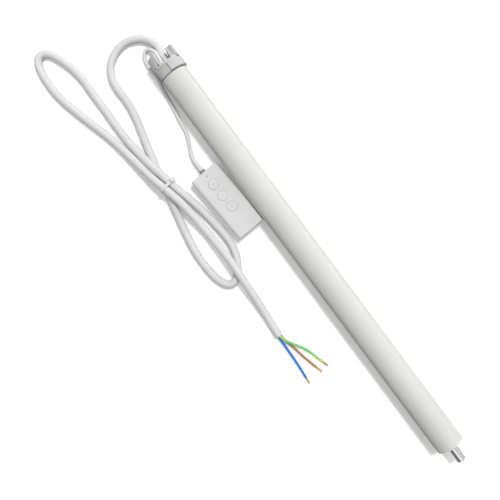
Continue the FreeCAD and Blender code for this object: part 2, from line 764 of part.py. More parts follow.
pinion = toothed(sun_count, 0.9, 1.1, size("backlash"), 0, size(pinion_near), size("gear_width"))
collar = bar(size(pinion_near) - 1.2, size(pinion_near), size("shaft_radius * 2"))
shaped("first_sun", pinion.fuse(collar).cut(bar(size(plate_near), size(cap_near), size("shaft_radius"))))
first_carrier, first_far = stage("first", pinion_near, second_sun)
shaped("first_carrier", first_carrier)
second_near = first_far + size("wheel_gap")
second_carrier, second_far = stage("second", str(second_near), drive_socket)
socket_far = second_far + size("socket_length")
teeth_far = second_near + size("gear_width") + size("wheel_gap")
ring_blank = bar(size(gearbox_near), size(cap_near), size(plug_radius))
ring_space = toothed(ring_count, 1.1, 0.9, -size("backlash"), 180 / ring_count, size(gearbox_near) - 1,
                     teeth_far - size(gearbox_near) + 1)
rest_bore = bar(teeth_far, size(cap_near) + 1, size("ring_bore"))
shaped("gearbox_ring", ring_blank.cut(ring_space).cut(rest_bore))


def flatted(near, far, radius, flat):
    """A round bar with one flat."""
    solid = bar(near, far, radius)
    tool = Part.makeBox(far - near + 2, 4 * radius, 4 * radius, Vector(near - 1, flat, -2 * radius))
    tool.rotate(Vector(), turn_axis, size("drive_flat_turn"))
    return solid.cut(tool)


shaft_end = second_far + 0.3
hollow = flatted(shaft_end - 0.3, socket_far + 1, size("drive_radius + shaft_play"), size("drive_flat + shaft_play"))
shaped("second_carrier", second_carrier.cut(hollow))

# Drive end: shaft, retaining clip, bush and the cap that closes the tube
ring_far = f"({cap_near} - 0.5)"
ring_near = f"({ring_far} - ring_thickness)"
shaft = new_body("drive_shaft")
turned(shaft, [
    (str(shaft_end), "0"), (str(shaft_end), "drive_radius"), (str(socket_far), "drive_radius"),
    (str(socket_far), "journal_radius"), (ring_near, "journal_radius"), (ring_near, "journal_radius - ring_bite"),
    (ring_far, "journal_radius - ring_bite"), (ring_far, "journal_radius"), ("0", "journal_radius"),
    ("0", "drive_radius"), ("drive_groove_x", "drive_radius"),
    ("drive_groove_x", "drive_radius - drive_groove_depth"),
    ("drive_groove_x + drive_groove_width", "drive_radius - drive_groove_depth"),
    ("drive_groove_x + drive_groove_width", "drive_radius"), ("drive_length - drive_tip", "drive_radius"),
    ("drive_length", "drive_radius - drive_tip"), ("drive_length", "0")])
for near, length in (("0", "drive_length + 1"), (f"{shaft_end} - 1", f"{socket_far} + 1 - {shaft_end}")):
    cut(shaft, "YZ_Plane", near, length, turn="drive_flat_turn",
        outlines=[rectangle("drive_flat", "drive_radius * 2", "-drive_radius * 2", "drive_radius * 2")])
retainer = new_body("shaft_clip")
turned(retainer, [
    (ring_near + " + 0.02", "journal_radius - ring_bite + part_gap"),
    (ring_far + " - 0.02", "journal_radius - ring_bite + part_gap"),
    (ring_far + " - 0.02", "ring_radius"), (ring_near + " + 0.02", "ring_radius")], start="150", sweep="290")
bush_bore = "(journal_radius + shaft_play)"
bush_outer = f"({bush_bore} + bush_wall)"
bush_near = "(-bush_inset - bush_length)"
bush_step = "(-bush_inset - bush_flange)"
bush = new_body("output_bush")
turned(bush, [(bush_near, bush_bore), ("-bush_inset", bush_bore), ("-bush_inset", f"{bush_outer} + bush_flange"),
              (bush_step, f"{bush_outer} + bush_flange"), (bush_step, bush_outer), (bush_near, bush_outer)])
cap = new_body("drive_end_cap")
turned(cap, [(cap_near, "cap_bore"), (bush_near, "cap_bore"), (bush_near, f"{bush_outer} + part_gap"),
             (bush_step, f"{bush_outer} + part_gap"), (bush_step, f"{bush_outer} + bush_flange + part_gap"),
             ("0", f"{bush_outer} + bush_flange + part_gap"), ("0", f"{plug_radius} - cap_bevel"),
             ("-cap_bevel", plug_radius), (cap_near, plug_radius)])
screw_socket(cap, cap_screw, "under")


# Control pod, modelled on its own axes and then laid on the floor beside the tube
def on_pod(item):
    """Carry an object from the pod's axes to its place."""
    item.Placement = Placement(Vector(), Rotation(Vector(0, 0, 1), 1))
    item.setExpression("Placement.Base.x", cell("pod_x"))
    item.setExpression("Placement.Base.y", cell("pod_y"))
    item.setExpression("Placement.Base.z", cell("-tube_radius"))
    item.setExpression("Placement.Rotation.Angle", cell("pod_turn"))
    return item


def pod_rectangle(inset, length="pod_length", width="pod_width"):
    """A rectangle centred on the pod, drawn in by an inset."""
    return rectangle(f"-{length} / 2 + {inset}", f"{length} / 2 - {inset}",
                     f"-{width} / 2 + {inset}", f"{width} / 2 - {inset}")


def upright(edge):
    """Outer corners of a pod shell."""
    box = edge.BoundBox
    return box.ZLength > 2 and abs(abs(box.Center.x) - size("pod_length / 2")) < 0.01 and (
        abs(abs(box.Center.y) - size("pod_width / 2")) < 0.01)


def long_shoulder(edge):
    """Top edges along the pod's two long sides."""
    box = edge.BoundBox
    return box.ZMin > size("pod_height") - 0.01 and abs(abs(box.Center.y) - size("pod_width / 2")) < 0.01


def end_edge(edge):
    """Edges round the flat ends of the upper shell."""
    box = edge.BoundBox
    return abs(abs(box.Center.x) - size("pod_length / 2")) < 0.01 and box.XLength < 0.01 and (
        box.ZMax > size("pod_split") + 0.01)


def outer_rim(height):
    """A test for the outer edges of a shell at one height."""
    def choose(edge):
        box = edge.BoundBox
        outside = abs(box.Center.x) > size("pod_length / 2 - pod_corner") or (
            abs(box.Center.y) > size("pod_width / 2 - pod_corner"))
        return box.ZLength < 0.01 and abs(box.ZMin - size(height)) < 0.01 and outside
    return choose


bosses = [(f"{side} * (pod_length / 2 - boss_inset)", f"{row} * (pod_width / 2 - boss_side)")
          for side in (-1, 1) for row in (-1, 1)]
buttons_at = [f"(-pod_length / 2 + button_start + pod_length * button_share * {number})" for number in range(3)]
led_at = "(-pod_length / 2 + boss_inset)"
floor_top = "pod_wall"
lid_under = "(pod_height - lid_thickness)"
pod_board_top = "(pod_board_level + board_thickness)"
neck_hole = "(pod_gland_neck + part_gap)"
end_wall = "(-pod_length / 2)"
plate_left = f"({end_wall} + pod_board_margin)"
plate_right = "(pod_length / 2 - pod_board_space)"

back = on_pod(new_body("pod_back_shell"))
extruded(back, "XY_Plane", "0", "pod_split", outlines=[pod_rectangle("0")])
softened(back, "Fillet", "pod_corner", upright)
softened(back, "Fillet", "pod_edge / 2", outer_rim("0"))
cut(back, "XY_Plane", floor_top, "pod_split", outlines=[pod_rectangle("pod_wall")])
extruded(back, "XY_Plane", f"{floor_top} - 0.2", f"pod_split + lip_height - {floor_top} + 0.2",
         outlines=[pod_rectangle("(pod_wall + lip_play)"), pod_rectangle("(pod_wall + lip_play + lip_thickness)")])
extruded(back, "XY_Plane", floor_top, f"pod_board_level - {floor_top}",
         outlines=[rectangle(f"{at} - 0.8", f"{at} + 0.8", "-pod_board_width / 2", "pod_board_width / 2")
                   for at in (f"({plate_left} * {1 - part} + {plate_right} * {part})" for part in (0.1, 0.5, 0.9))])
cut(back, "XY_Plane", floor_top, "pod_height", circles=[(p, q, "boss_radius + lip_play") for p, q in bosses])
cut(back, "XY_Plane", "-1", "pod_split", circles=[(p, q, "pod_screw_radius + 0.1") for p, q in bosses])
cut(back, "XY_Plane", "-1", "pod_screw_sink + 1", circles=[(p, q, "pod_screw_head + 0.2") for p, q in bosses])
cut(back, "YZ_Plane", f"{end_wall} - 1", "pod_wall + 3", circles=[("0", "pod_split", neck_hole)])
cut(back, "YZ_Plane", f"{end_wall} + pod_wall", "2", circles=[("0", "pod_split", "pod_gland_radius + lip_play")])

front = on_pod(new_body("pod_front_shell"))
extruded(front, "XY_Plane", "pod_split", "pod_height - pod_split", outlines=[pod_rectangle("0")])
softened(front, "Fillet", "pod_shoulder", long_shoulder)
softened(front, "Fillet", "pod_corner", end_edge)
cut(front, "XY_Plane", "pod_split - 1", f"{lid_under} - pod_split + 1", outlines=[pod_rectangle("pod_wall")])
cut(front, "XY_Plane", f"{lid_under} - 1", "lid_thickness + 2",
    circles=[(p, "0", "button_radius") for p in buttons_at] + [(led_at, "0", "led_radius + 0.05")])
extruded(front, "XY_Plane", f"{floor_top} + part_gap", f"{lid_under} - {floor_top}",
         circles=[(p, q, "boss_radius") for p, q in bosses])
cut(front, "XY_Plane", "0", "pod_screw_sink + pod_screw_length + 0.5",
    circles=[(p, q, "pod_screw_radius + part_gap") for p, q in bosses])
cut(front, "YZ_Plane", f"{end_wall} - 1", "pod_wall + 2", circles=[("0", "pod_split", neck_hole)])

pod_screw_list = []
for number, (p, q) in enumerate(bosses):
    shank = cylinder(f"pod_shank_{number}", (p, q, "pod_screw_sink"), "pod_screw_radius", "pod_screw_length", (0, 0, 1))
    cap_head = cylinder(f"pod_head_{number}", (p, q, "0.1"), "pod_screw_head", "pod_screw_sink - 0.1", (0, 0, 1))
    pod_screw_list.append(joined(f"pod_screw_{number}", [shank, cap_head]))
on_pod(group("pod_screws", pod_screw_list))

pod_plate = box("pod_plate", (plate_left, "-pod_board_width / 2", "pod_board_level"),
                (f"{plate_right} - {plate_left}", "pod_board_width", "board_thickness"))
pod_chip = box("pod_chip", (f"{plate_right} - 13", "-6", pod_board_top), ("2.4", "1.4", "0.8"))
nodes.append(on_pod(joined("pod_board", [pod_plate, pod_chip])))
switches = []
knob_base = f"({pod_board_top} + part_gap + switch_height)"
for number, p in enumerate(buttons_at):
    case = box(f"switch_case_{number}", (f"{p} - switch_width / 2", "-switch_width / 2", f"{pod_board_top} + part_gap"),
               ("switch_width", "switch_width", "switch_height"))
    knob = cylinder(f"switch_knob_{number}", (p, "0", knob_base), "switch_knob", "0.6", (0, 0, 1))
    switches.append(joined(f"switch_{number}", [case, knob]))
on_pod(group("button_switches", switches))
radio = box("radio_case", (f"{plate_right} - chip_width - 0.5", "-chip_width / 2", f"{pod_board_top} + part_gap"),
            ("chip_width", "chip_width", "chip_height"))
on_pod(group("radio_chip", [radio]))
led_step = f"({lid_under} - 0.1)"
led_base = cylinder("led_base", (led_at, "0", f"{pod_board_top} + part_gap"), "led_foot",
                    f"{led_step} - {pod_board_top} - part_gap", (0, 0, 1))
led_tip = cylinder("led_tip", (led_at, "0", led_step), "led_radius", "pod_height - 0.05 - " + led_step, (0, 0, 1))
nodes.append(on_pod(joined("led_lens", [led_base, led_tip])))

flange_top = f"({lid_under} - 0.1)"
stem_foot = f"({knob_base} + 0.6 + 0.05 + button_travel)"
for label, p in zip(("button_up", "button_stop", "button_down"), buttons_at):
    button = on_pod(new_body(label))
    extruded(button, "XY_Plane", stem_foot, f"{flange_top} - {stem_foot}", circles=[(p, "0", "button_stem")])
    extruded(button, "XY_Plane", f"{flange_top} - button_flange_height", "button_flange_height",
             circles=[(p, "0", "button_radius + button_flange")])
    extruded(button, "XY_Plane", flange_top, f"pod_height + button_proud - {flange_top}",
             circles=[(p, "0", "button_radius - button_play")])
    softened(button, "Fillet", "button_dish", lambda edge: edge.BoundBox.ZMin > size("pod_height + button_proud") - 0.01)

gland = on_pod(new_body("pod_gland"))
gland_bore = "(lead_radius + entry_play)"
for near, length, radius in ((f"{end_wall} - pod_gland_length", "pod_gland_length", "pod_gland_radius"),
                             (end_wall, "pod_wall", "pod_gland_neck"),
                             (f"{end_wall} + pod_wall", "0.7", "pod_gland_radius")):
    extruded(gland, "YZ_Plane", near, length, circles=[("0", "pod_split", radius), ("0", "pod_split", gland_bore)])


# Cords: straight runs joined by tangent arcs
def centreline(points):
    """The edges of a route, with the radius at each corner."""
    spots = [Vector(*point) for point in points]
    edges = []
    radii = []
    last = spots[0]
    for before, here, after in zip(spots, spots[1:], spots[2:]):
        come = (here - before).normalize()
        go = (after - here).normalize()
        half_turn = come.getAngle(go) / 2
        reach = 0.45 * min(here.distanceToPoint(before), here.distanceToPoint(after))
        radius = reach / math.tan(half_turn)
        radii.append(radius)
        start = here - come * reach
        finish = here + go * reach
        inward = (go - come).normalize()
        middle = here + inward * (radius / math.cos(half_turn) - radius)
        edges += [Part.LineSegment(last, start).toShape(), Part.Arc(start, middle, finish).toShape()]
        last = finish
    edges.append(Part.LineSegment(last, spots[-1]).toShape())
    return edges, radii


def tube_along(points, radius, name):
    """A round cord swept along a route, with its figures printed."""
    edges, radii = centreline(points)
    path = Part.Wire(edges)
    way = Vector(*points[1]) - Vector(*points[0])
    ring = Part.Wire([Part.makeCircle(radius, Vector(*points[0]), way)])
    solid = path.makePipeShell([ring], True, False)
    section = math.pi * radius ** 2 * path.Length
    print(f"{name}: length {path.Length:.1f}, least radius {min(radii):.1f},",
          f"volume over section x length {solid.Volume / section:.4f}, closed {solid.isClosed()}")
    return solid, edges


def gap_along(first, second, thickness, name):
    """The least surface gap between two routes, or of one to itself, measured on points."""
    def marks(edges):
        found = []
        so_far = 0
        for edge in edges:
            count = max(2, int(edge.Length / 0.8))
            for step in range(count):
                at = edge.FirstParameter + (edge.LastParameter - edge.FirstParameter) * step / count
                found.append((so_far + edge.Length * step / count, edge.valueAt(at)))
            so_far += edge.Length
        return found
    least = (1e9, None, None)
    skip = 8 * thickness if first is second else -1
    ours = marks(first)
    theirs = ours if first is second else marks(second)
    for place, spot in ours:
        for other_place, other in theirs:
            if first is not second or other_place - place > skip:
                between = spot.distanceToPoint(other)
                if between < least[0]:
                    least = (between, spot, other)
    at = [round(value) for value in least[1]] + [round(value) for value in least[2]]
    print(f"{name}: least gap {least[0] - thickness:.2f} between {at[:3]} and {at[3:]}")


cord_start = (size(cavity_end) + 1.25, size("cord_y"), size("cord_z"))
tie_low = (-323.8, -65.1, -7.2)
tie_side = (-323.4, -58.2, -3.7)
tie_top = (-322.2, -65.0, 0.3)
cord_route = [
    cord_start, (-411.6, 2.3, -4.2), (-419.6, 1.9, -5.8), (-428.2, 3.9, -8.8), (-437.6, 1.0, -9.1),
    (-445.0, -6.4, -9.1), (-448.9, -17.4, -9.1), (-446.7, -29.6, -9.1), (-439.8, -40.0, -9.1),
    (-429.9, -45.7, -9.1), (-419.3, -47.0, -9.1), (-409.3, -46.5, -9.1), (-397.2, -47.4, -9.1),
    (-383.7, -50.4, -9.1), (-370.7, -54.0, -9.1), (-358.0, -57.2, -9.1), (-345.1, -60.4, -9.1),
    (-333.9, -63.2, -8.9), tie_low, (-313.5, -67.0, -8.0), 
    (-295.0, -71.6, -9.1), (-277.5, -75.3, -9.1), (-264.3, -77.4, -9.1), (-249.4, -78.0, -9.1),
    (-236.9, -77.0, -9.1), (-228.4, -74.5, -9.1), (-223.4, -70.8, -9.1), (-222.2, -66.0, -9.1),
    (-225.0, -61.0, -9.1),
    (-230.8, -56.0, -9.1), (-237.5, -51.7, -9.1), (-244.8, -49.0, -9.1), (-254.5, -47.4, -9.1),
    (-268.0, -48.0, -9.1), (-286.6, -50.2, -9.1), (-303.7, -53.6, -7.8), (-313.7, -56.2, -5.6),
    tie_side, (-333.5, -60.1, -1.6), (-343.5, -62.1, -1.2), (-352.1, -63.8, -3.6),
    (-362.3, -65.2, -7.8), (-378.6, -66.8, -9.1), (-395.5, -67.2, -9.1), (-411.5, -66.5, -9.1),
    (-426.6, -66.7, -9.1), (-441.1, -65.9, -9.1), (-454.6, -67.1, -9.1), (-467.0, -70.4, -9.1),
    (-477.6, -74.6, -9.1), (-482.7, -79.2, -9.1), (-483.5, -84.8, -9.1), (-479.7, -89.3, -9.1),
    (-471.6, -91.7, -9.1),
    (-458.7, -92.9, -9.1), (-443.0, -92.1, -9.1), (-426.3, -88.2, -9.1), (-409.0, -83.5, -9.1),
    (-392.0, -78.6, -9.1), (-376.7, -75.3, -8.5), (-361.7, -72.8, -6.5), (-347.0, -70.4, -4.0),
    (-334.2, -68.2, -1.2), tie_top, (-306.8, -61.6, -1.0), (-289.6, -59.9, -4.4),
    (-272.4, -58.6, -6.8), (-255.7, -57.8, -4.6), (-241.1, -57.1, -1.6), (-220.2, -58.1, -1.6),
    (-201.3, -59.3, -6.3), (-183.4, -60.6, -9.0), (-170.0, -61.8, -9.1), (-161.6, -62.5, -9.1)]
cord_solid, cord_edges = tube_along(cord_route, size("cord_radius"), "mains_cord")
shaped("mains_cord", cord_solid)

pod_way = (math.cos(math.radians(size("pod_turn"))), math.sin(math.radians(size("pod_turn"))))


def pod_point(along):
    """A point on the pod's long axis at the height of its lead."""
    return (size("pod_x") + along * pod_way[0], size("pod_y") + along * pod_way[1], size("pod_split - tube_radius"))


lead_start = (size(cavity_end) + 1.25, size("lead_y"), size("lead_z"))
lead_route = [
    lead_start, (-412, size("lead_y"), size("lead_z")), (-419.5, -1.6, -1.4), (-425.5, -1.6, -4.4),
    (-430.3, -3.6, -8.0), (-432.6, -7.4, -10.4), (-429.2, -11.0, -10.9), (-423.5, -13.1, -10.9),
    (-415.8, -13.6, -10.9), (-409.4, -13.2, -10.9), (-402.2, -13.4, -10.9), (-395.6, -15.2, -10.9),
    (-385.4, -16.3, -10.9), (-375.5, -17.6, -10.9), (-366.1, -19.7, -10.9), (-355.9, -20.7, -10.9),
    (-346.9, -23.4, -10.9), (-338.6, -27.9, -10.8), (-331.4, -30.6, -9.6), pod_point(-39.5), pod_point(-29.9)]
lead_solid, lead_edges = tube_along(lead_route, size("lead_radius"), "signal_lead")
shaped("signal_lead", lead_solid)
gap_along(cord_edges, cord_edges, size("cord_radius * 2"), "mains_cord to itself")
gap_along(lead_edges, lead_edges, size("lead_radius * 2"), "signal_lead to itself")
gap_along(cord_edges, lead_edges, size("cord_radius + lead_radius"), "mains_cord to signal_lead")

core_routes = {
    "core_blue": [(-161.2, -63.7, -9.7), (-153, -63.6, -10.8), (-144.2, -63.9, -11.4), (-128.7, -64.5, -11.4),
                  (-117.7, -65.6, -11.4)],
    "core_brown": [(-161.2, -61.3, -9.7), (-153, -60.2, -10.6), (-145, -58.3, -11.4), (-137, -57.0, -11.4),
                   (-129, -55.3, -11.4), (-120.4, -53.0, -11.4)],
    "core_green_yellow": [(-161.2, -62.6, -7.6), (-155.5, -60.8, -7.5), (-149, -57.0, -8.3), (-141, -52.2, -10.2),
                          (-133.3, -49.0, -11.4), (-126.3, -47.4, -11.4), (-120.4, -45.6, -11.4)]}
tips = []
core_edges = {}
for label, route in core_routes.items():
    core, core_edges[label] = tube_along(route, size("core_insulation"), label)
    shaped(label, core)
    finish = Vector(*route[-1])
    way = (finish - Vector(*route[-2])).normalize()
    tips.append(Part.makeCylinder(size("copper_radius"), size("copper_length"), finish, way))
shaped("copper_tips", Part.makeCompound(tips))
labels = list(core_edges)
for number, label in enumerate(labels):
    for other in labels[number + 1:]:
        gap_along(core_edges[label], core_edges[other], size("core_insulation * 2"), f"{label} to {other}")

# Tie round the three strands, with its locking head
tie_way = Vector(0.986, 0.165, 0).normalize()
tie_centre = Vector(*tie_low)
line_marks = [spot for edge in cord_edges for spot in edge.discretize(Distance=0.2)]


def crossing(point):
    """Where the cord near a point goes through the tie's plane."""
    near = [spot for spot in line_marks if spot.distanceToPoint(Vector(*point)) < 6]
    return min(near, key=lambda spot: abs((spot - tie_centre).dot(tie_way)))


strands = [crossing(point) for point in (tie_low, tie_side, tie_top)]
flat_strands = [strand - tie_way * (strand - tie_centre).dot(tie_way) for strand in strands]
loop = Part.makePolygon(flat_strands + flat_strands[:1])
tie_inner = size("cord_radius + tie_clearance")
tie_outer = tie_inner + size("tie_thickness")
outer_face = Part.Face(loop.makeOffset2D(tie_outer))
band = outer_face.cut(Part.Face(loop.makeOffset2D(tie_inner)))
band.translate(tie_way * (-size("tie_width") / 2))
band = band.extrude(tie_way * size("tie_width"))
head_spot = max(flat_strands, key=lambda strand: strand.y)
lock = Part.makeBox(3.4, 4.0, 2.6, Vector(-1.7, -2, tie_inner + 0.1))
lock.rotate(Vector(), Vector(1, 0, 0), -33)
lock.rotate(Vector(), Vector(0, 0, 1), math.degrees(math.atan2(tie_way.y, tie_way.x)))
lock.translate(head_spot)
tie = band.fuse(lock)
shaped("cord_tie", tie)
print(f"cord_tie: gap to the cord {tie.distToShape(cord_solid)[0]:.2f}, lowest {tie.BoundBox.ZMin:.2f}")

# Wires inside: three cores and the lead's conductor to the terminal block, and the links between the units
block_face = size(block_near)
wires = []
wire_turn = (90, 210, 330)
wire_entries = (entries[1], entries[2], entries[0])
for turn, entry in zip(wire_turn, wire_entries):
    y = size("cord_y") + size(wire_circle) * math.cos(math.radians(turn))
    z = size("cord_z") + size(wire_circle) * math.sin(math.radians(turn))
    route = [(size(cavity_end) + 1.35, y, z), (size(cavity_end) + 9, y, z),
             (block_face - 10, size(entry), size(entry_level)), (block_face + 3, size(entry), size(entry_level))]
    wires.append(tube_along(route, size("core_radius"), f"inner wire at {turn}")[0])
route = [(size(cavity_end) + 1.35, size("lead_y"), size("lead_z")), (size(cavity_end) + 9, size("lead_y"), size("lead_z")),
         (block_face - 10, size(entries[3]), size(entry_level)), (block_face + 3, size(entries[3]), size(entry_level))]
wires.append(tube_along(route, size("core_radius"), "inner wire 3")[0])
link_level = size(board_top) + 0.8 + size("part_gap")
for near, far, side in ((size(power_far) - 6, size(control_near) + 2.8, size(board_half) / 2),
                        (size(control_far) - 3, size(cover_near) - 0.1, size("mount_bore") / 2)):
    for y in (-side, side):
        wires.append(Part.makeCylinder(0.8, far - near, Vector(near, y, link_level), turn_axis))
shaped("inner_wires", Part.makeCompound(wires))

doc.recompute()
failed = [item.Label for item in doc.Objects if {"Invalid", "Error"} & set(item.State)]
assert not failed, failed
for node in nodes:
    assert not node.Shape.isNull() and node.Shape.isValid(), node.Label
    node.Shape.exportStep(f"parts/{node.Label}.step")
print(len(nodes), "nodes written")
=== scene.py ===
import math

import bmesh
import bpy
from mathutils import Matrix, Vector


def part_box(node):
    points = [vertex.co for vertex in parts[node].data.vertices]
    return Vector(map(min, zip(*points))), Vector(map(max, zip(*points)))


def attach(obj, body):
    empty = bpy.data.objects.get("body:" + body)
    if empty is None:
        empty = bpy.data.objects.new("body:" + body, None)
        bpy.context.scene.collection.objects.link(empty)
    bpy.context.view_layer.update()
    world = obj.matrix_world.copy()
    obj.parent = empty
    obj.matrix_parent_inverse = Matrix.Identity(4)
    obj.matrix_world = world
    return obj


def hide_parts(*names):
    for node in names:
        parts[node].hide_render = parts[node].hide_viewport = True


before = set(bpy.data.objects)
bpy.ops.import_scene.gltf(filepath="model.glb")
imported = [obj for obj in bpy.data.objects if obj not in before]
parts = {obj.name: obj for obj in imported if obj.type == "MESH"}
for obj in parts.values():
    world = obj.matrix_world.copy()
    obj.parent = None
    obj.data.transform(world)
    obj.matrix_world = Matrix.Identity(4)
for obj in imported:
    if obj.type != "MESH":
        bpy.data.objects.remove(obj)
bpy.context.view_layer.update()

scene = bpy.context.scene
scene.view_settings.view_transform = "Standard"
print("frame loaded,", len(parts), "parts")


def addNode(tree, kind, inputs=None, **settings):
    made = tree.nodes.new(kind)
    for name, value in settings.items():
        setattr(made, name, value)
    for name, value in (inputs or {}).items():
        if isinstance(value, bpy.types.NodeSocket):
            tree.links.new(value, made.inputs[name])
        else:
            made.inputs[name].default_value = value
    return made


def outputOf(tree, kind, inputs=None, **settings):
    return addNode(tree, kind, inputs, **settings).outputs[0]


def addObject(name, data):
    made = bpy.data.objects.new(name, data)
    scene.collection.objects.link(made)
    return made


def meshFrom(name, corners, faces=()):
    mesh = bpy.data.meshes.new(name)
    mesh.from_pydata(corners, [], faces)
    return mesh


def shadeSoft(mesh, sharpAngle):
    mesh.shade_smooth()
    mesh.set_sharp_from_angle(angle=math.radians(sharpAngle))
    return mesh


def meshOf(build, name):
    mesh = bpy.data.meshes.new(name)
    build.to_mesh(mesh)
    build.free()
    return mesh


# The camera looks straight down on the laid-out parts
cameraView = {"place": (-0.2371, -0.038, 0.557), "turn": 53.29, "lens": 46.5, "sensor": 36.0}

lens = bpy.data.cameras.new("photoLens")
lens.lens = cameraView["lens"]
lens.sensor_width = cameraView["sensor"]
camera = addObject("photoCamera", lens)
camera.location = cameraView["place"]
camera.rotation_euler = (0, 0, math.radians(cameraView["turn"]))
scene.camera = camera
print("camera placed")


def startTree(name, kind, inputs, outputs):
    # a node tree with named sockets, which are all set where it is used
    tree = bpy.data.node_groups.new(name, kind)
    for way, sockets in (("INPUT", inputs), ("OUTPUT", outputs)):
        for label, socket in sockets.items():
            tree.interface.new_socket(name=label, in_out=way, socket_type="NodeSocket" + socket)
    return tree, addNode(tree, "NodeGroupInput").outputs, addNode(tree, "NodeGroupOutput").inputs


def spreadOut(tree, value, low, high, start=0.0, end=1.0):
    limits = {"From Min": low, "From Max": high, "To Min": start, "To Max": end}
    return outputOf(tree, "ShaderNodeMapRange", {"Value": value, **limits})


def mixColour(tree, factor, first, second):
    return addNode(tree, "ShaderNodeMix", {0: factor, 6: first, 7: second}, data_type="RGBA").outputs[2]


def mathOf(tree, operation, *values):
    return outputOf(tree, "ShaderNodeMath", dict(enumerate(values)), operation=operation)


def noiseOf(tree, place, scale, detail, roughness=0.5):
    inputs = {"Vector": place, "Scale": scale, "Detail": detail, "Roughness": roughness}
    return outputOf(tree, "ShaderNodeTexNoise", inputs)


def weigh(tree, first, second, share):
    return mathOf(tree, "ADD", mathOf(tree, "MULTIPLY", first, share), mathOf(tree, "MULTIPLY", second, 1 - share))


# Shader groups: each puts out the colour, roughness and height that vary over a surface
finishSockets = {"Vector": "Vector", "Stretch": "Vector", "Scale": "Float", "Light": "Color", "Dark": "Color",
                 "Smooth": "Float", "Rough": "Float"}
finishResults = {"Color": "Color", "Roughness": "Float", "Height": "Float"}
# a noise mostly stays between these two
noiseSpan = (0.35, 0.65)
groupPlan = {"mould": {"cloudScale": 0.03, "fineShare": 0.35},
             "brushed": {"lineRoughness": 0.65, "spotScale": 260.0, "lineShare": 0.6},
             "skin": {"cloudScale": 45.0, "lineShare": 0.5, "lineHeight": 0.4}}


def startFinish(name):
    group, given, result = startTree(name, "ShaderNodeTree", finishSockets, finishResults)
    stretch = {0: given["Vector"], 1: given["Stretch"]}
    return group, given, result, outputOf(group, "ShaderNodeVectorMath", stretch, operation="MULTIPLY")


def endFinish(group, given, result, shade, wear, height, ends=("Smooth", "Rough")):
    tint = spreadOut(group, shade, *noiseSpan)
    group.links.new(mixColour(group, tint, given["Dark"], given["Light"]), result["Color"])
    group.links.new(spreadOut(group, wear, *noiseSpan, *(given[end] for end in ends)), result["Roughness"])
    group.links.new(height, result["Height"])
    return group


def buildMouldGrain(plan):
    # fine spark-eroded grain with slow clouds of shade, for plastics and paint
    group, given, result, stretched = startFinish("mouldGrain")
    fine = noiseOf(group, stretched, given["Scale"], 2.0)
    slow = noiseOf(group, stretched, mathOf(group, "MULTIPLY", given["Scale"], plan["cloudScale"]), 3.0)
    return endFinish(group, given, result, weigh(group, fine, slow, plan["fineShare"]), slow, fine)


def buildBrushedLines(plan):
    # drawn or turned lines; the stretch vector says which way they run
    group, given, result, stretched = startFinish("brushedLines")
    lines = noiseOf(group, stretched, given["Scale"], 5.0, plan["lineRoughness"])
    spots = noiseOf(group, given["Vector"], plan["spotScale"], 3.0)
    shade = weigh(group, lines, spots, plan["lineShare"])
    return endFinish(group, given, result, shade, shade, lines, ("Rough", "Smooth"))


def buildExtrudedSkin(plan):
    # faint lines along a cord, and slow clouds that make its skin undulate
    group, given, result, stretched = startFinish("extrudedSkin")
    lines = noiseOf(group, stretched, given["Scale"], 2.0)
    slow = noiseOf(group, given["Vector"], plan["cloudScale"], 2.0)
    height = mathOf(group, "ADD", mathOf(group, "MULTIPLY", lines, plan["lineHeight"]), slow)
    return endFinish(group, given, result, weigh(group, lines, slow, plan["lineShare"]), slow, height)


mouldGrain = buildMouldGrain(groupPlan["mould"])
brushedLines = buildBrushedLines(groupPlan["brushed"])
extrudedSkin = buildExtrudedSkin(groupPlan["skin"])
usualLook = {"stretch": (1, 1, 1), "scale": 1500.0, "bump": 0.1, "depth": 0.00003, "shader": {}}
metal = {"Metallic": 1.0}
machined = {"bump": 0.08, "depth": 0.00001, "shader": metal}


def opaque(colour):
    # a single number is a grey
    return (*colour, 1.0) if isinstance(colour, tuple) else (colour, colour, colour, 1.0)


def startMaterial(name):
    material = bpy.data.materials.new(name)
    material.use_nodes = True
    return material, material.node_tree.nodes["Principled BSDF"]


def overlay(tree, shader, mask, under, over):
    tree.links.new(mixColour(tree, mask, under, over), shader.inputs["Base Color"])


def objectSpot(tree):
    return addNode(tree, "ShaderNodeTexCoord").outputs["Object"]


def surfaceFinish(name, look, group=None):
    # a stretch has lines at scale 1; what is the same all over goes on the shader
    lined = "stretch" in look
    look = {**usualLook, **({"scale": 1.0} if lined else {}), **look}
    material, shader = startMaterial(name)
    tree = material.node_tree
    grain = addNode(tree, "ShaderNodeGroup", node_tree=group or (brushedLines if lined else mouldGrain))
    tree.links.new(objectSpot(tree), grain.inputs["Vector"])
    for socket in ("Stretch", "Scale", "Smooth", "Rough"):
        grain.inputs[socket].default_value = look[socket.lower()]
    for socket in ("Light", "Dark"):
        grain.inputs[socket].default_value = opaque(look[socket.lower()])
    relief = {"Strength": look["bump"], "Distance": look["depth"], "Height": grain.outputs["Height"]}
    tree.links.new(addNode(tree, "ShaderNodeBump", relief).outputs["Normal"], shader.inputs["Normal"])
    tree.links.new(grain.outputs["Color"], shader.inputs["Base Color"])
    tree.links.new(grain.outputs["Roughness"], shader.inputs["Roughness"])
    for socket, value in look["shader"].items():
        shader.inputs[socket].default_value = value
    material.diffuse_color = opaque(look["light"])
    return material, tree, shader, grain


def dress(material, *names):
    for name in names:
        part = parts[name]
        if not part.material_slots:
            part.data.materials.append(material)
        for place in part.material_slots:
            place.material = material


def paint(finish, look, *names):
    dress(surfaceFinish(finish, look)[0], *names)


print("shader groups built")


# Cords: routes in tenths of a millimetre; a point without a height lies on the ground
def fullRoute(route, ground):
    return [tuple(value / 10000 for value in (*spot, ground)[:3]) for spot in route]


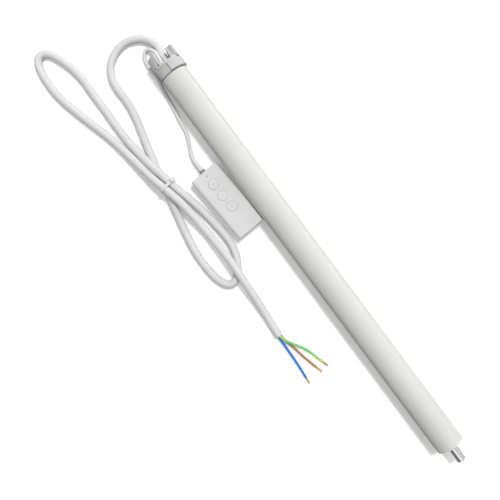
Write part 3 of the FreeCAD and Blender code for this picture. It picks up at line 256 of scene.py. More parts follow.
def startCurve(name, kind, spots):
    curve = bpy.data.curves.new(name, "CURVE")
    curve.dimensions = "3D"
    spline = curve.splines.new(kind)
    spline.points.add(len(spots) - 1)
    for point, spot in zip(spline.points, spots):
        point.co = (*spot, 1.0)
    return curve, spline


def readLine(name, route, resolution):
    curve, spline = startCurve(name + "Line", "NURBS", route)
    spline.order_u = 3
    spline.use_endpoint_u = True
    spline.resolution_u = resolution
    holder = bpy.data.objects.new(name + "Line", curve)
    mesh = bpy.data.meshes.new_from_object(holder)
    line = [corner.co.copy() for corner in mesh.vertices]
    bpy.data.objects.remove(holder)
    bpy.data.meshes.remove(mesh)
    bpy.data.curves.remove(curve)
    return line


def lineLength(line):
    return sum((after - before).length for before, after in zip(line, line[1:]))


def rideAlong(line):
    # a frame that doesn't twist at each point: direction, side and lift
    tangents = [(line[min(i + 1, len(line) - 1)] - line[max(i - 1, 0)]).normalized() for i in range(len(line))]
    lift = Vector((0, 0, 1))
    frames = []
    for tangent in tangents:
        lift = (lift - tangent * lift.dot(tangent)).normalized()
        frames.append((tangent, tangent.cross(lift), lift.copy()))
    return frames


def tubeMesh(name, line, radius, sides, startRings, endRings):
    # rings along the line, then the shaped ends; a ring of no radius closes the tube
    frames = rideAlong(line)
    rings = [(line[0] - frames[0][0] * back, frames[0], size) for back, size in reversed(startRings)]
    rings += [(spot, way, radius) for spot, way in zip(line, frames)]
    rings += [(line[-1] + frames[-1][0] * ahead, frames[-1], size) for ahead, size in endRings]
    corners, alongs, rows = [], [], []
    travelled = 0.0
    for index, (spot, (tangent, side, lift), size) in enumerate(rings):
        if index:
            travelled += (spot - rings[index - 1][0]).length + abs(size - rings[index - 1][2])
        alongs.append(travelled)
        count = sides if size > 0 else 1
        rows.append(range(len(corners), len(corners) + count))
        for step in range(count):
            angle = 2 * math.pi * step / sides - math.pi / 2
            corners.append(spot + (side * math.cos(angle) + lift * math.sin(angle)) * size)
    faces, layout = [], []
    for index in range(len(rings) - 1):
        here, there = rows[index], rows[index + 1]
        low, high = alongs[index], alongs[index + 1]
        for step in range(sides):
            after = (step + 1) % sides
            first, second = step / sides, (step + 1) / sides
            spots = [(here, step, low, first), (here, after, low, second),
                     (there, after, high, second), (there, step, high, first)]
            # at a closed end two corners are one
            if len(here) == 1 or len(there) == 1:
                del spots[1 if len(here) == 1 else 2]
            faces.append([row[place % len(row)] for row, place, along, around in spots])
            layout += [(along, around) for row, place, along, around in spots]
    mesh = meshFrom(name, corners, faces)
    uvs = mesh.uv_layers.new(name="UVMap")
    for loop, place in zip(uvs.data, layout):
        loop.uv = place
    mesh.shade_smooth()
    return mesh


def addPiece(name, mesh, material, replaces):
    piece = addObject(name, mesh)
    mesh.materials.clear()
    mesh.materials.append(material)
    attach(piece, "shell")
    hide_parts(*replaces)
    return piece


# Sheaths: the lines of the extruded skin follow the cord's own layout
sheathLook = {"light": (0.785, 0.785, 0.78), "dark": (0.75, 0.75, 0.745), "smooth": 0.5, "rough": 0.62,
              "linesAround": 34.0, "linesAlong": 22.0, "bump": 0.12, "depth": 0.00006,
              "shader": {"Specular IOR Level": 0.3}}


def skinFinish(name, look):
    stretch = (look["linesAlong"], look["linesAround"], 1)
    material, tree, shader, grain = surfaceFinish(name, {**look, "stretch": stretch}, extrudedSkin)
    layout = addNode(tree, "ShaderNodeUVMap", uv_map="UVMap")
    tree.links.new(layout.outputs["UV"], grain.inputs["Vector"])
    return material, tree, shader, grain, layout


sheathWhite = skinFinish("sheathWhite", sheathLook)[0]
# the lead's white is a lighter copy of the sheath's: painted light, which makes up for the tube's shadow that the lead
# lies in
leadLitLook = {**sheathLook, "light": (0.87, 0.87, 0.865), "dark": (0.835, 0.835, 0.83)}
leadLitWhite = skinFinish("leadLitWhite", leadLitLook)[0]

mainsCord = {
    "radius": 0.0034, "length": 0.917, "sides": 28, "resolution": 12, "ground": -91,
    "exit": (-0.40805, 0.0023, -0.0042),
    "lip": [(0.00035, 0.0031), (0.00035, 0.0026), (-0.0013, 0.0025), (-0.0013, 0.0)],
    "route": [
        (-4033, 23, -42), (-4116, 23, -42), (-4196, 19, -58), (-4282, 39, -88), (-4376, 10), (-4450, -64), (-4489, -174),
        (-4467, -296), (-4398, -400), (-4299, -457), (-4193, -470), (-4093, -465), (-3972, -474), (-3837, -504),
        (-3707, -540), (-3580, -572), (-3451, -604), (-3339, -632, -89), (-3238, -651, -72), (-3135, -670, -80),
        (-2950, -716), (-2775, -753), (-2643, -774), (-2494, -780), (-2369, -770), (-2284, -745), (-2234, -708),
        (-2222, -660), (-2250, -610), (-2308, -560), (-2375, -517), (-2448, -490), (-2545, -474), (-2680, -480),
        (-2866, -502), (-3037, -536, -78), (-3137, -562, -56), (-3234, -582, -37), (-3335, -601, -16), (-3435, -621, -12),
        (-3521, -638, -36), (-3623, -652, -78), (-3786, -668), (-3955, -672), (-4115, -665), (-4266, -667), (-4411, -659),
        (-4546, -671), (-4670, -704), (-4776, -746), (-4827, -792), (-4835, -848), (-4797, -893), (-4716, -917),
        (-4587, -929), (-4430, -921), (-4263, -882), (-4090, -835), (-3920, -786), (-3767, -753, -85), (-3617, -728, -65),
        (-3470, -704, -40), (-3342, -682, -12), (-3222, -650, 3), (-3068, -616, -10), (-2896, -599, -44),
        (-2724, -586, -68), (-2557, -578, -46), (-2411, -571, -16), (-2202, -581, -16), (-2013, -593, -63),
        (-1834, -606, -90), (-1700, -618), (-1616, -625)]}

signalLead = {
    "radius": 0.0016, "length": 0.1583, "sides": 20, "resolution": 12, "ground": -109,
    "exit": (-0.40805, -0.0027, 0.0006),
    "route": [
        (-4033, -27, 6), (-4120, -27, 6), (-4195, -16, -14), (-4255, -16, -44), (-4303, -36, -80), (-4326, -74, -104),
        (-4292, -110), (-4235, -131), (-4158, -136), (-4094, -132), (-4022, -134), (-3956, -152), (-3854, -163),
        (-3755, -176), (-3661, -197), (-3559, -207), (-3469, -234), (-3386, -279, -108), (-3314, -306, -96),
        (-3222.6, -306.8, -75), (-3126.8, -300.6, -75)]}

mainsRoute = fullRoute(mainsCord["route"], mainsCord["ground"])
mainsLine = readLine("mainsCord", mainsRoute, mainsCord["resolution"])
leadLine = readLine("signalLead", fullRoute(signalLead["route"], signalLead["ground"]), signalLead["resolution"])
closedEnd = [(0.0002, 0.0)]
mainsMesh = tubeMesh("mainsCord", mainsLine, mainsCord["radius"], mainsCord["sides"], closedEnd, mainsCord["lip"])
leadMesh = tubeMesh("signalLead", leadLine, signalLead["radius"], signalLead["sides"], closedEnd, closedEnd)
mainsPiece = addPiece("mainsCordSheath", mainsMesh, sheathWhite, ["mains_cord"])
leadPiece = addPiece("signalLeadSheath", leadMesh, leadLitWhite, ["signal_lead"])
print("sheaths drawn, mains line", round(lineLength(mainsLine), 4), "lead line", round(lineLength(leadLine), 4))


# Cores: each comes out of the sheath's end and finishes in bare copper strands
coreSkin = {"smooth": 0.25, "rough": 0.4, "linesAround": 12.0, "linesAlong": 60.0, "bump": 0.08}
coreLooks = {
    "Blue": {**coreSkin, "light": (0.012, 0.24, 0.9), "dark": (0.008, 0.19, 0.79)},
    "Brown": {**coreSkin, "light": (0.58, 0.275, 0.135), "dark": (0.48, 0.215, 0.1)},
    "GreenYellow": {**coreSkin, "light": (0.215, 0.83, 0.21), "dark": (0.15, 0.69, 0.15),
                    "stripe": (0.8, 0.78, 0.11), "stripeStart": 0.66, "stripeTurn": 0.7, "stripeLength": 0.045,
                    "stripeHalf": 0.17, "stripeEdge": 0.02, "wander": 0.1, "wanderScale": 40.0}}
cores = {
    "Blue": {"node": "core_blue", "slot": "core_blue", "length": 0.0447, "bare": 0.0057, "route": [
        (-1624, -633, -94), (-1612, -637, -97), (-1530, -636, -108), (-1442, -639), (-1287, -645), (-1177, -656)]},
    "Brown": {"node": "core_brown", "slot": "core_brown", "length": 0.0428, "bare": 0.0074, "route": [
        (-1624, -617, -95), (-1612, -613, -97), (-1530, -602, -106), (-1450, -583), (-1370, -570), (-1290, -553),
        (-1204, -530)]},
    "GreenYellow": {"node": "core_green_yellow", "slot": "core_green", "length": 0.0458, "bare": 0.006, "route": [
        (-1624, -625, -81), (-1612, -626, -76), (-1555, -608, -75), (-1490, -570, -83), (-1410, -522, -102),
        (-1333, -490), (-1263, -474), (-1204, -456)]}}
coreShape = {"radius": 0.00105, "sides": 18, "resolution": 12, "ground": -114, "seat": 0.0001,
             "lid": 0.00012, "lidShare": 0.93}
strandShape = {"bundle": 0.00092, "wire": 0.00025, "strands": 12, "inner": 3, "innerReach": 1.15, "twist": 2.3,
               "seed": 4, "uneven": (-0.00045, 0.00025), "steps": 9, "sides": 8}


def coreFinish(label, look):
    material, tree, shader, grain, layout = skinFinish("insulation" + label, look)
    if "stripe" in look:
        # a stripe that winds slowly round the core and wanders a little
        along, around = addNode(tree, "ShaderNodeSeparateXYZ", {0: layout.outputs["UV"]}).outputs[:2]
        drift = mathOf(tree, "SUBTRACT", noiseOf(tree, layout.outputs["UV"], look["wanderScale"], 1.0), 0.5)
        drifted = mathOf(tree, "ADD", around, mathOf(tree, "MULTIPLY", drift, look["wander"]))
        centre = mathOf(tree, "MULTIPLY_ADD", along, look["stripeTurn"] / look["stripeLength"], look["stripeStart"])
        away = mathOf(tree, "PINGPONG", mathOf(tree, "SUBTRACT", drifted, centre), 0.5)
        half, edge = look["stripeHalf"], look["stripeEdge"]
        inside = spreadOut(tree, away, half + edge, half - edge)
        overlay(tree, shader, inside, grain.outputs["Color"], opaque(look["stripe"]))
    return material


copperLook = {"light": (0.84, 0.6, 0.33), "dark": (0.56, 0.34, 0.16), "smooth": 0.28, "rough": 0.45,
              "stretch": (2400, 2400, 2400), "depth": 0.00002, "shader": metal}
copper = surfaceFinish("copperStrand", copperLook)[0]


def geometryTree(name, sizes, counts=()):
    inputs = {"Geometry": "Geometry", **dict.fromkeys(sizes, "Float"), **dict.fromkeys(counts, "Int")}
    return startTree(name, "GeometryNodeTree", inputs, {"Geometry": "Geometry"})


def layOut(tree, points, instance, more=None):
    # the same shape on every point, as real faces
    laid = outputOf(tree, "GeometryNodeInstanceOnPoints", {"Points": points, "Instance": instance, **(more or {})})
    return outputOf(tree, "GeometryNodeRealizeInstances", {"Geometry": laid})


def endTree(tree, solid, material, result):
    dressed = outputOf(tree, "GeometryNodeSetMaterial", {"Geometry": solid, "Material": material})
    tree.links.new(dressed, result["Geometry"])
    return tree


def runTree(name, tree, values, source=None):
    # the tree's result as a plain mesh
    holder = addObject(name + "Maker", source or bpy.data.meshes.new(name + "Seed"))
    maker = holder.modifiers.new("maker", "NODES")
    maker.node_group = tree
    for item in tree.interface.items_tree:
        if item.in_out == "INPUT" and item.name in values:
            maker[item.identifier] = values[item.name]
    graph = bpy.context.evaluated_depsgraph_get()
    mesh = bpy.data.meshes.new_from_object(holder.evaluated_get(graph))
    mesh.name = name
    holder.modifiers.remove(maker)
    bpy.data.objects.remove(holder)
    return mesh


def buildStrandTree(shape):
    # straight wires round the axis, then twisted together
    sizes = ["Length", "Bundle Radius", "Wire Radius", "Twist"]
    tree, given, result = geometryTree("copperStrands", sizes, ["Strands", "Seed"])
    top = outputOf(tree, "ShaderNodeCombineXYZ", {"Z": given["Length"]})
    wire = outputOf(tree, "GeometryNodeCurvePrimitiveLine", {"End": top})
    wire = outputOf(tree, "GeometryNodeResampleCurve", {"Curve": wire, "Count": shape["steps"]})
    spots = outputOf(tree, "GeometryNodePoints", {"Count": given["Strands"]})
    # the last few wires are the inner ones
    order = outputOf(tree, "GeometryNodeInputIndex")
    outerCount = mathOf(tree, "SUBTRACT", given["Strands"], float(shape["inner"]))
    isInner = mathOf(tree, "GREATER_THAN", order, mathOf(tree, "SUBTRACT", outerCount, 0.5))
    outerTurn = mathOf(tree, "DIVIDE", mathOf(tree, "MULTIPLY", order, 2 * math.pi), outerCount)
    innerTurn = mathOf(tree, "MULTIPLY", order, 2 * math.pi / shape["inner"])
    turn = outputOf(tree, "ShaderNodeMix", {0: isInner, 2: outerTurn, 3: innerTurn})
    outerReach = mathOf(tree, "SUBTRACT", given["Bundle Radius"], given["Wire Radius"])
    innerReach = mathOf(tree, "MULTIPLY", given["Wire Radius"], shape["innerReach"])
    reach = outputOf(tree, "ShaderNodeMix", {0: isInner, 2: outerReach, 3: innerReach})
    x = mathOf(tree, "MULTIPLY", mathOf(tree, "COSINE", turn), reach)
    y = mathOf(tree, "MULTIPLY", mathOf(tree, "SINE", turn), reach)
    low, high = shape["uneven"]
    jitter = addNode(tree, "FunctionNodeRandomValue", {2: low, 3: high, "Seed": given["Seed"]}).outputs[1]
    place = outputOf(tree, "ShaderNodeCombineXYZ", {"X": x, "Y": y, "Z": jitter})
    laid = layOut(tree, outputOf(tree, "GeometryNodeSetPosition", {"Geometry": spots, "Position": place}), wire)
    spot = outputOf(tree, "GeometryNodeInputPosition")
    height = addNode(tree, "ShaderNodeSeparateXYZ", {0: spot}).outputs["Z"]
    twist = mathOf(tree, "MULTIPLY", mathOf(tree, "DIVIDE", height, given["Length"]), given["Twist"])
    twisted = outputOf(tree, "ShaderNodeVectorRotate", {"Vector": spot, "Angle": twist}, rotation_type="Z_AXIS")
    laid = outputOf(tree, "GeometryNodeSetPosition", {"Geometry": laid, "Position": twisted})
    outline = {"Resolution": shape["sides"], "Radius": given["Wire Radius"]}
    ring = outputOf(tree, "GeometryNodeCurvePrimitiveCircle", outline)
    solid = outputOf(tree, "GeometryNodeCurveToMesh", {"Curve": laid, "Profile Curve": ring, "Fill Caps": True})
    return endTree(tree, solid, copper, result)


strandTree = buildStrandTree(strandShape)
for order, (label, core) in enumerate(cores.items()):
    line = readLine("core" + label, fullRoute(core["route"], coreShape["ground"]), coreShape["resolution"])
    radius, lid = coreShape["radius"], coreShape["lid"]
    farEnd = [(lid, radius * coreShape["lidShare"]), (lid, 0.0)]
    mesh = tubeMesh("core" + label, line, radius, coreShape["sides"], [(coreShape["seat"], 0.0)], farEnd)
    piece = addPiece("core" + label, mesh, coreFinish(label, coreLooks[label]), [core["node"]])
    way = (line[-1] - line[-2]).normalized()
    strands = runTree("copperTip" + label, strandTree, {
        "Length": core["bare"], "Bundle Radius": strandShape["bundle"], "Wire Radius": strandShape["wire"],
        "Strands": strandShape["strands"], "Twist": strandShape["twist"], "Seed": strandShape["seed"] + order})
    strands.transform(Matrix.Translation(line[-1]) @ way.to_track_quat("Z", "Y").to_matrix().to_4x4())
    tip = addPiece("copperTip" + label, strands, copper, ["copper_tips"])
print("cores and copper strands laid")


# Cable tie: its band follows the hull of the three strands in its plane
tieShape = {"way": (0.986, 0.165, 0.0), "nearMark": 0.006, "longestStep": 0.004,
            "marks": [(-0.3238, -0.0651, -0.0072), (-0.3234, -0.0582, -0.0037), (-0.3222, -0.065, 0.0003)],
            "clearance": 0.00035, "thickness": 0.0009, "width": 0.0023, "soft": 0.28, "softCut": 0.3,
            "bandSteps": 96, "loopSteps": 180, "toothPitch": 0.0009, "toothLength": 0.00045, "toothHeight": 0.0003,
            "toothWidth": 0.7, "toothGap": 0.00002, "sharpAngle": 40,
            "lock": (0.0034, 0.004, 0.0026), "lockTurn": 33.0, "lockSoft": 0.00045, "lockSink": 0.4,
            "tail": 0.0014, "tailSeat": 0.0006, "tailLift": 0.12, "sortWay": (1, 0.37, 0.11)}
tieLook = {"light": (0.78, 0.78, 0.77), "dark": (0.73, 0.73, 0.72), "smooth": 0.28, "rough": 0.42, "scale": 900.0}
tieNylon = surfaceFinish("tieNylon", tieLook)[0]


def crossingPoints(line, centre, way, marks):
    # where the line goes through the tie's plane beside each mark
    found = []
    for mark in marks:
        near = [spot for spot in line if (spot - mark).length < tieShape["nearMark"]]
        spots = []
        for before, after in zip(near, near[1:]):
            a, b = (before - centre).dot(way), (after - centre).dot(way)
            if a * b <= 0 and abs(a - b) > 1e-9 and (after - before).length < tieShape["longestStep"]:
                spots.append(before.lerp(after, a / (a - b)))
        if not spots:
            spots = [min(near, key=lambda spot: abs((spot - centre).dot(way)))]
        found.append(spots[0])
    return found


tieWay = Vector(tieShape["way"]).normalized()
tieMarks = [Vector(mark) for mark in tieShape["marks"]]
tieCentre = tieMarks[0]
strandSpots = crossingPoints(mainsLine, tieCentre, tieWay, tieMarks)
sideWay = Vector((0, 0, 1)).cross(tieWay)
tieMatrix = Matrix((
    (sideWay.x, 0, tieWay.x, tieCentre.x), (sideWay.y, 0, tieWay.y, tieCentre.y),
    (sideWay.z, 1, tieWay.z, tieCentre.z), (0, 0, 0, 1)))
flatSpots = [Vector(((spot - tieCentre).dot(sideWay), (spot - tieCentre).z)) for spot in strandSpots]


def hullPoint(angle, reach):
    out = Vector((math.cos(angle), math.sin(angle)))
    return max(flatSpots, key=lambda spot: spot.dot(out)) + out * reach


def bandMesh(shape):
    # a band with softened edges, closed round the strands
    inner = mainsCord["radius"] + shape["clearance"]
    thick, half = shape["thickness"], shape["width"] / 2
    soft = thick * shape["soft"]
    cut = soft * shape["softCut"]
    corner = [(0, soft), (cut, cut), (soft, 0)]
    edge = corner + [(thick - out, across) for out, across in reversed(corner)]
    section = [(out, across - half) for out, across in edge] + [(out, half - across) for out, across in reversed(edge)]
    steps, count = shape["bandSteps"], len(section)
    corners = []
    for step in range(steps):
        angle = 2 * math.pi * step / steps
        for out, across in section:
            flat = hullPoint(angle, inner + out)
            corners.append((flat.x, flat.y, across))
    faces = []
    for step in range(steps):
        here, there = step * count, (step + 1) % steps * count
        for side in range(count):
            after = (side + 1) % count
            faces.append((here + side, there + side, there + after, here + after))
    return meshFrom("tieBand", corners, faces)


def buildToothTree():
    # teeth at an even pitch on the inside of the band
    tree, given, result = geometryTree("tieTeeth", ["Pitch", "Tooth Length", "Tooth Height", "Tooth Width"])
    pitch = {"Curve": given["Geometry"], "Length": given["Pitch"]}
    even = outputOf(tree, "GeometryNodeResampleCurve", pitch, mode="LENGTH")
    sides = {"X": given["Tooth Length"], "Y": given["Tooth Height"], "Z": given["Tooth Width"]}
    tooth = outputOf(tree, "GeometryNodeMeshCube", {"Size": outputOf(tree, "ShaderNodeCombineXYZ", sides)})
    tangent = outputOf(tree, "GeometryNodeInputTangent")
    turn = outputOf(tree, "FunctionNodeAlignEulerToVector", {"Vector": tangent}, axis="X")
    return endTree(tree, layOut(tree, even, tooth, {"Rotation": turn}), tieNylon, result)


def toothMesh(shape):
    # the loop that the teeth stand on, as a flat curve
    steps = shape["loopSteps"]
    reach = mainsCord["radius"] + shape["clearance"] + shape["toothGap"]
    spots = [(*hullPoint(2 * math.pi * step / steps, reach), 0) for step in range(steps)]
    curve, spline = startCurve("tieLoop", "POLY", spots)
    spline.use_cyclic_u = True
    return runTree("tieTeeth", buildToothTree(), {
        "Pitch": shape["toothPitch"], "Tooth Length": shape["toothLength"],
        "Tooth Height": shape["toothHeight"], "Tooth Width": shape["width"] * shape["toothWidth"]}, curve)


def lockMesh(shape):
    # lock head, beside the strands
    build = bmesh.new()
    across, along, tall = shape["lock"]
    bmesh.ops.create_cube(build, size=1.0)
    bmesh.ops.scale(build, vec=(along, tall, across), verts=build.verts)
    bmesh.ops.bevel(build, geom=list(build.edges), offset=shape["lockSoft"], segments=3, profile=0.5, affect="EDGES")
    inner = mainsCord["radius"] + shape["clearance"]
    outmost = max(flatSpots, key=lambda spot: spot.x)
    turn = math.radians(90 - shape["lockTurn"])
    reach = inner + shape["thickness"] * shape["lockSink"] + tall / 2
    seat = outmost + Vector((math.cos(turn), math.sin(turn))) * reach
    place = Matrix.Translation((seat.x, seat.y, 0)) @ Matrix.Rotation(turn - math.pi / 2, 4, "Z")
    bmesh.ops.transform(build, matrix=place, verts=build.verts)
    # the cut tail, which stands out of it
    tail = bmesh.ops.create_cube(build, size=1.0)["verts"]
    bmesh.ops.scale(build, vec=(shape["tail"], shape["thickness"], shape["width"]), verts=tail)
    seat = (along / 2 + shape["tail"] / 2 - shape["tailSeat"], tall * shape["tailLift"], 0)
    bmesh.ops.transform(build, matrix=place @ Matrix.Translation(seat), verts=tail)
    # a bevel leaves its faces in no fixed order
    sortWay = Vector(shape["sortWay"])
    build.verts.sort(key=lambda corner: sortWay.dot(corner.co))
    build.faces.sort(key=lambda face: sortWay.dot(face.calc_center_median()))
    return meshOf(build, "tieLock")


def joinMeshes(name, meshes):
    build = bmesh.new()
    for mesh in meshes:
        build.from_mesh(mesh)
    bmesh.ops.recalc_face_normals(build, faces=build.faces)
    joined = meshOf(build, name)
    for mesh in meshes:
        bpy.data.meshes.remove(mesh)
    return shadeSoft(joined, tieShape["sharpAngle"])


tieMesh = joinMeshes("cableTie", [bandMesh(tieShape), toothMesh(tieShape), lockMesh(tieShape)])
tieMesh.transform(tieMatrix)
tiePiece = addPiece("cableTie", tieMesh, tieNylon, ["cord_tie"])
print("cable tie closed round the strands")


# Tube and head
tubeLook = {"light": (0.73, 0.725, 0.703), "dark": (0.706, 0.701, 0.679), "smooth": 0.27, "rough": 0.34,
            "scale": 1100.0, "bump": 0.05, "depth": 0.00004, "shader": {"Specular IOR Level": 0.25}}
paint("tubePaint", tubeLook, "outer_tube")

headLook = {"light": (0.635, 0.635, 0.625), "dark": (0.585, 0.585, 0.575), "smooth": 0.42, "rough": 0.56, "bump": 0.12}
paint("headPlastic", headLook, "head_body")

crownLook = {"light": (0.6, 0.6, 0.59), "dark": (0.55, 0.55, 0.54), "smooth": 0.36, "rough": 0.5}
paint("crownPlastic", crownLook, "crown_ring")

endCapLook = {"light": (0.68, 0.68, 0.665), "dark": (0.645, 0.645, 0.63), "smooth": 0.34, "rough": 0.46}
paint("endCapPlastic", endCapLook, "drive_end_cap")

shaftLook = {"light": (0.9, 0.905, 0.91), "dark": (0.8, 0.805, 0.81), "smooth": 0.1, "rough": 0.22,
             "stretch": (1800, 160, 160), "bump": 0.04, "depth": 0.00001, "shader": metal}
paint("shaftSteel", shaftLook, "drive_shaft")

# Pod
podLook = {"light": 0.76, "dark": 0.737, "smooth": 0.4, "rough": 0.52, "scale": 2200.0, "depth": 0.00002}
paint("podWhite", podLook, "pod_front_shell", "pod_back_shell")

glandLook = {"light": 0.36, "dark": 0.3, "smooth": 0.55, "rough": 0.7, "scale": 1200.0, "bump": 0.15, "depth": 0.00004}
paint("glandRubber", glandLook, "pod_gland")

lensLook = {"light": (0.6, 0.61, 0.6), "dark": (0.54, 0.55, 0.54), "smooth": 0.2, "rough": 0.3,
            "bump": 0.05, "depth": 0.00002, "shader": {"Transmission Weight": 0.1}}
paint("lensFrosted", lensLook, "led_lens")

# Buttons: a mark's half size, its blur as a share of that, and the way an arrow's side slants
buttons = {**podLook, "light": 0.763, "dark": 0.74, "turn": 3.75, "markSize": 0.00085, "markBlur": 0.08,
           "markColour": 0.675, "slant": (0.87, 0.5),
           "marks": {"button_up": "up", "button_stop": "square", "button_down": "down"}}


def buttonFinish(look, mark, centre):
    # the cap's plastic with its small printed mark in the middle
    material, tree, shader, grain = surfaceFinish("buttonCap" + mark.capitalize(), look)
    settings = {"Vector": objectSpot(tree), "Location": centre, "Rotation": (0, 0, math.radians(look["turn"]))}
    local = outputOf(tree, "ShaderNodeMapping", settings, vector_type="TEXTURE")
    split = addNode(tree, "ShaderNodeSeparateXYZ", {0: local})
    along, across = split.outputs["X"], mathOf(tree, "ABSOLUTE", split.outputs["Y"])
    if mark == "square":
        edge = mathOf(tree, "MAXIMUM", mathOf(tree, "ABSOLUTE", along), across)
    else:
        point = mathOf(tree, "MULTIPLY", along, -1.0 if mark == "up" else 1.0)
        out, ahead = look["slant"]
        slope = mathOf(tree, "ADD", mathOf(tree, "MULTIPLY", across, out), mathOf(tree, "MULTIPLY", point, ahead))
        edge = mathOf(tree, "MAXIMUM", slope, mathOf(tree, "MULTIPLY", point, -1.0))
    size, blur = look["markSize"], look["markBlur"]
    printed = spreadOut(tree, edge, size * (1 + blur), size * (1 - blur))
    overlay(tree, shader, printed, grain.outputs["Color"], opaque(look["markColour"]))
    return material


for name, mark in buttons["marks"].items():
    low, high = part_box(name)
    dress(buttonFinish(buttons, mark, ((low.x + high.x) / 2, (low.y + high.y) / 2, 0)), name)
print("outer parts painted")


# Parts inside, each with its own finish
innerLooks = {
    "magnetSintered": (["crown_magnet", "motor_magnets"], {"light": (0.23, 0.23, 0.24), "dark": (0.15, 0.15, 0.16),
        "smooth": 0.45, "rough": 0.65, "scale": 2600.0, "bump": 0.25, "depth": 0.00004, "shader": {"Metallic": 0.6}}),
    "clipPhosphate": (["crown_clip"], {"light": 0.4, "dark": 0.3, "smooth": 0.4, "rough": 0.6, "scale": 1800.0,
        "bump": 0.12, "depth": 0.00001}),
    "springSteel": (["shaft_clip"], {"light": (0.64, 0.64, 0.65), "dark": (0.5, 0.5, 0.52), "smooth": 0.22,
        "rough": 0.38, "stretch": (900, 900, 900), **machined}),
    "grommetRubber": (["mains_grommet", "lead_grommet"], {"light": 0.3, "dark": 0.22, "smooth": 0.6, "rough": 0.78,
        "scale": 1800.0, "bump": 0.2, "depth": 0.00004}),
    "innerPlastic": (["cord_clamp", "board_tray", "rear_mount", "input_plate"], {"light": (0.27, 0.28, 0.29),
        "dark": (0.21, 0.22, 0.23), "smooth": 0.42, "rough": 0.6, "bump": 0.15, "depth": 0.00004}),
    "brushHolder": (["brush_cover"], {"light": (0.83, 0.82, 0.78), "dark": (0.77, 0.76, 0.71), "smooth": 0.38,
        "rough": 0.52, "bump": 0.12, "depth": 0.00004}),
    "planetPlastic": ([stage + "_planet_" + place for stage in ("first", "second") for place in "abc"], {
        "light": (0.87, 0.86, 0.82), "dark": (0.8, 0.79, 0.74), "smooth": 0.28, "rough": 0.42, "scale": 1600.0,
        "bump": 0.08, "depth": 0.00002}),
    "screwZinc": (["clamp_screws"], {"light": (0.74, 0.75, 0.76), "dark": (0.6, 0.61, 0.62), "smooth": 0.2,
        "rough": 0.36, "stretch": (1500, 1500, 1500), **machined}),
    "motorCan": (["motor_can"], {"light": (0.63, 0.64, 0.65), "dark": (0.52, 0.53, 0.54), "smooth": 0.24, "rough": 0.4,
        "stretch": (60, 1400, 1400), **machined}),
    "gearSintered": (["gearbox_ring", "first_carrier", "second_carrier"], {"light": 0.6, "dark": 0.46, "smooth": 0.34,
        "rough": 0.52, "scale": 2600.0, "bump": 0.2, "depth": 0.00002, "shader": metal}),
    "pinionBrass": (["first_sun", "output_bush"], {"light": (0.83, 0.66, 0.34), "dark": (0.7, 0.53, 0.25),
        "smooth": 0.2, "rough": 0.35, "stretch": (200, 1600, 1600), "bump": 0.06, "depth": 0.00001, "shader": metal}),
    "switchBlack": (["button_switches", "radio_chip"], {"light": (0.11, 0.11, 0.12), "dark": (0.07, 0.07, 0.08),
        "smooth": 0.4, "rough": 0.6, "scale": 2400.0, "bump": 0.15, "depth": 0.00002}),
    "relayBlue": (["board_relays"], {"light": (0.16, 0.27, 0.58), "dark": (0.12, 0.21, 0.48), "smooth": 0.25,
        "rough": 0.38, "bump": 0.08, "depth": 0.00002}),
    "terminalGreen": (["terminal_block"], {"light": (0.13, 0.45, 0.27), "dark": (0.09, 0.36, 0.21), "smooth": 0.36,
        "rough": 0.5, "bump": 0.12}),
    "wireInsulation": (["inner_wires"], {"light": (0.58, 0.36, 0.26), "dark": (0.48, 0.29, 0.2), "smooth": 0.32,
        "rough": 0.46}),
    "fuseGlass": (["fuse"], {"light": (0.84, 0.86, 0.88), "dark": (0.76, 0.78, 0.8), "smooth": 0.06, "rough": 0.14,
        "scale": 900.0, "bump": 0.03, "depth": 0.00001, "shader": {"Transmission Weight": 0.7, "IOR": 1.5}}),
    "capacitorSleeve": (["filter_capacitor"], {"light": (0.1, 0.12, 0.27), "dark": (0.07, 0.09, 0.2), "smooth": 0.22,
        "rough": 0.34, "scale": 1200.0, "bump": 0.06})}
for name, (names, look) in innerLooks.items():
    paint(name, look, *names)


def bandedFinish(name, look):
    # even bands on the finish: windings of a coil, or stamped sheets of a rotor
    material, tree, shader, grain = surfaceFinish(name, look)
    settings = {"Vector": objectSpot(tree), "Scale": look["bandScale"], "Distortion": look["distortion"], "Detail": 1.0}
    wave = addNode(tree, "ShaderNodeTexWave", settings, bands_direction="X").outputs["Fac"]
    overlay(tree, shader, wave, opaque(look["gap"]), grain.outputs["Color"])
    relief = {"Strength": bandBump, "Distance": look["bandDepth"], "Height": wave}
    tree.links.new(addNode(tree, "ShaderNodeBump", relief).outputs["Normal"], shader.inputs["Normal"])
    return material


bandBump = 0.5
rotorLook = {"light": (0.54, 0.52, 0.5), "dark": (0.44, 0.42, 0.4), "smooth": 0.32, "rough": 0.48, "depth": 0.00002,
             "shader": metal, "bandScale": 320.0, "distortion": 0.0, "gap": (0.22, 0.21, 0.2), "bandDepth": 0.00006}
dress(bandedFinish("rotorSheets", rotorLook), "motor_rotor")
coilLook = {"light": (0.78, 0.64, 0.2), "dark": (0.68, 0.54, 0.15), "smooth": 0.3, "rough": 0.45, "scale": 900.0,
            "bandScale": 190.0, "distortion": 0.4, "gap": (0.42, 0.3, 0.08), "bandDepth": 0.00008}
dress(bandedFinish("coilTape", coilLook), "transformer")

boardLook = {"light": (0.055, 0.315, 0.165), "dark": (0.035, 0.235, 0.12), "smooth": 0.22, "rough": 0.34,
             "scale": 1300.0, "bump": 0.06, "depth": 0.00002, "trace": (0.1, 0.42, 0.22),
             "cells": {"Scale": 420.0, "Mortar Size": 0.09, "Mortar Smooth": 0.2, "Brick Width": 1.7,
                       "Row Height": 0.6, "Bias": 0.0}}


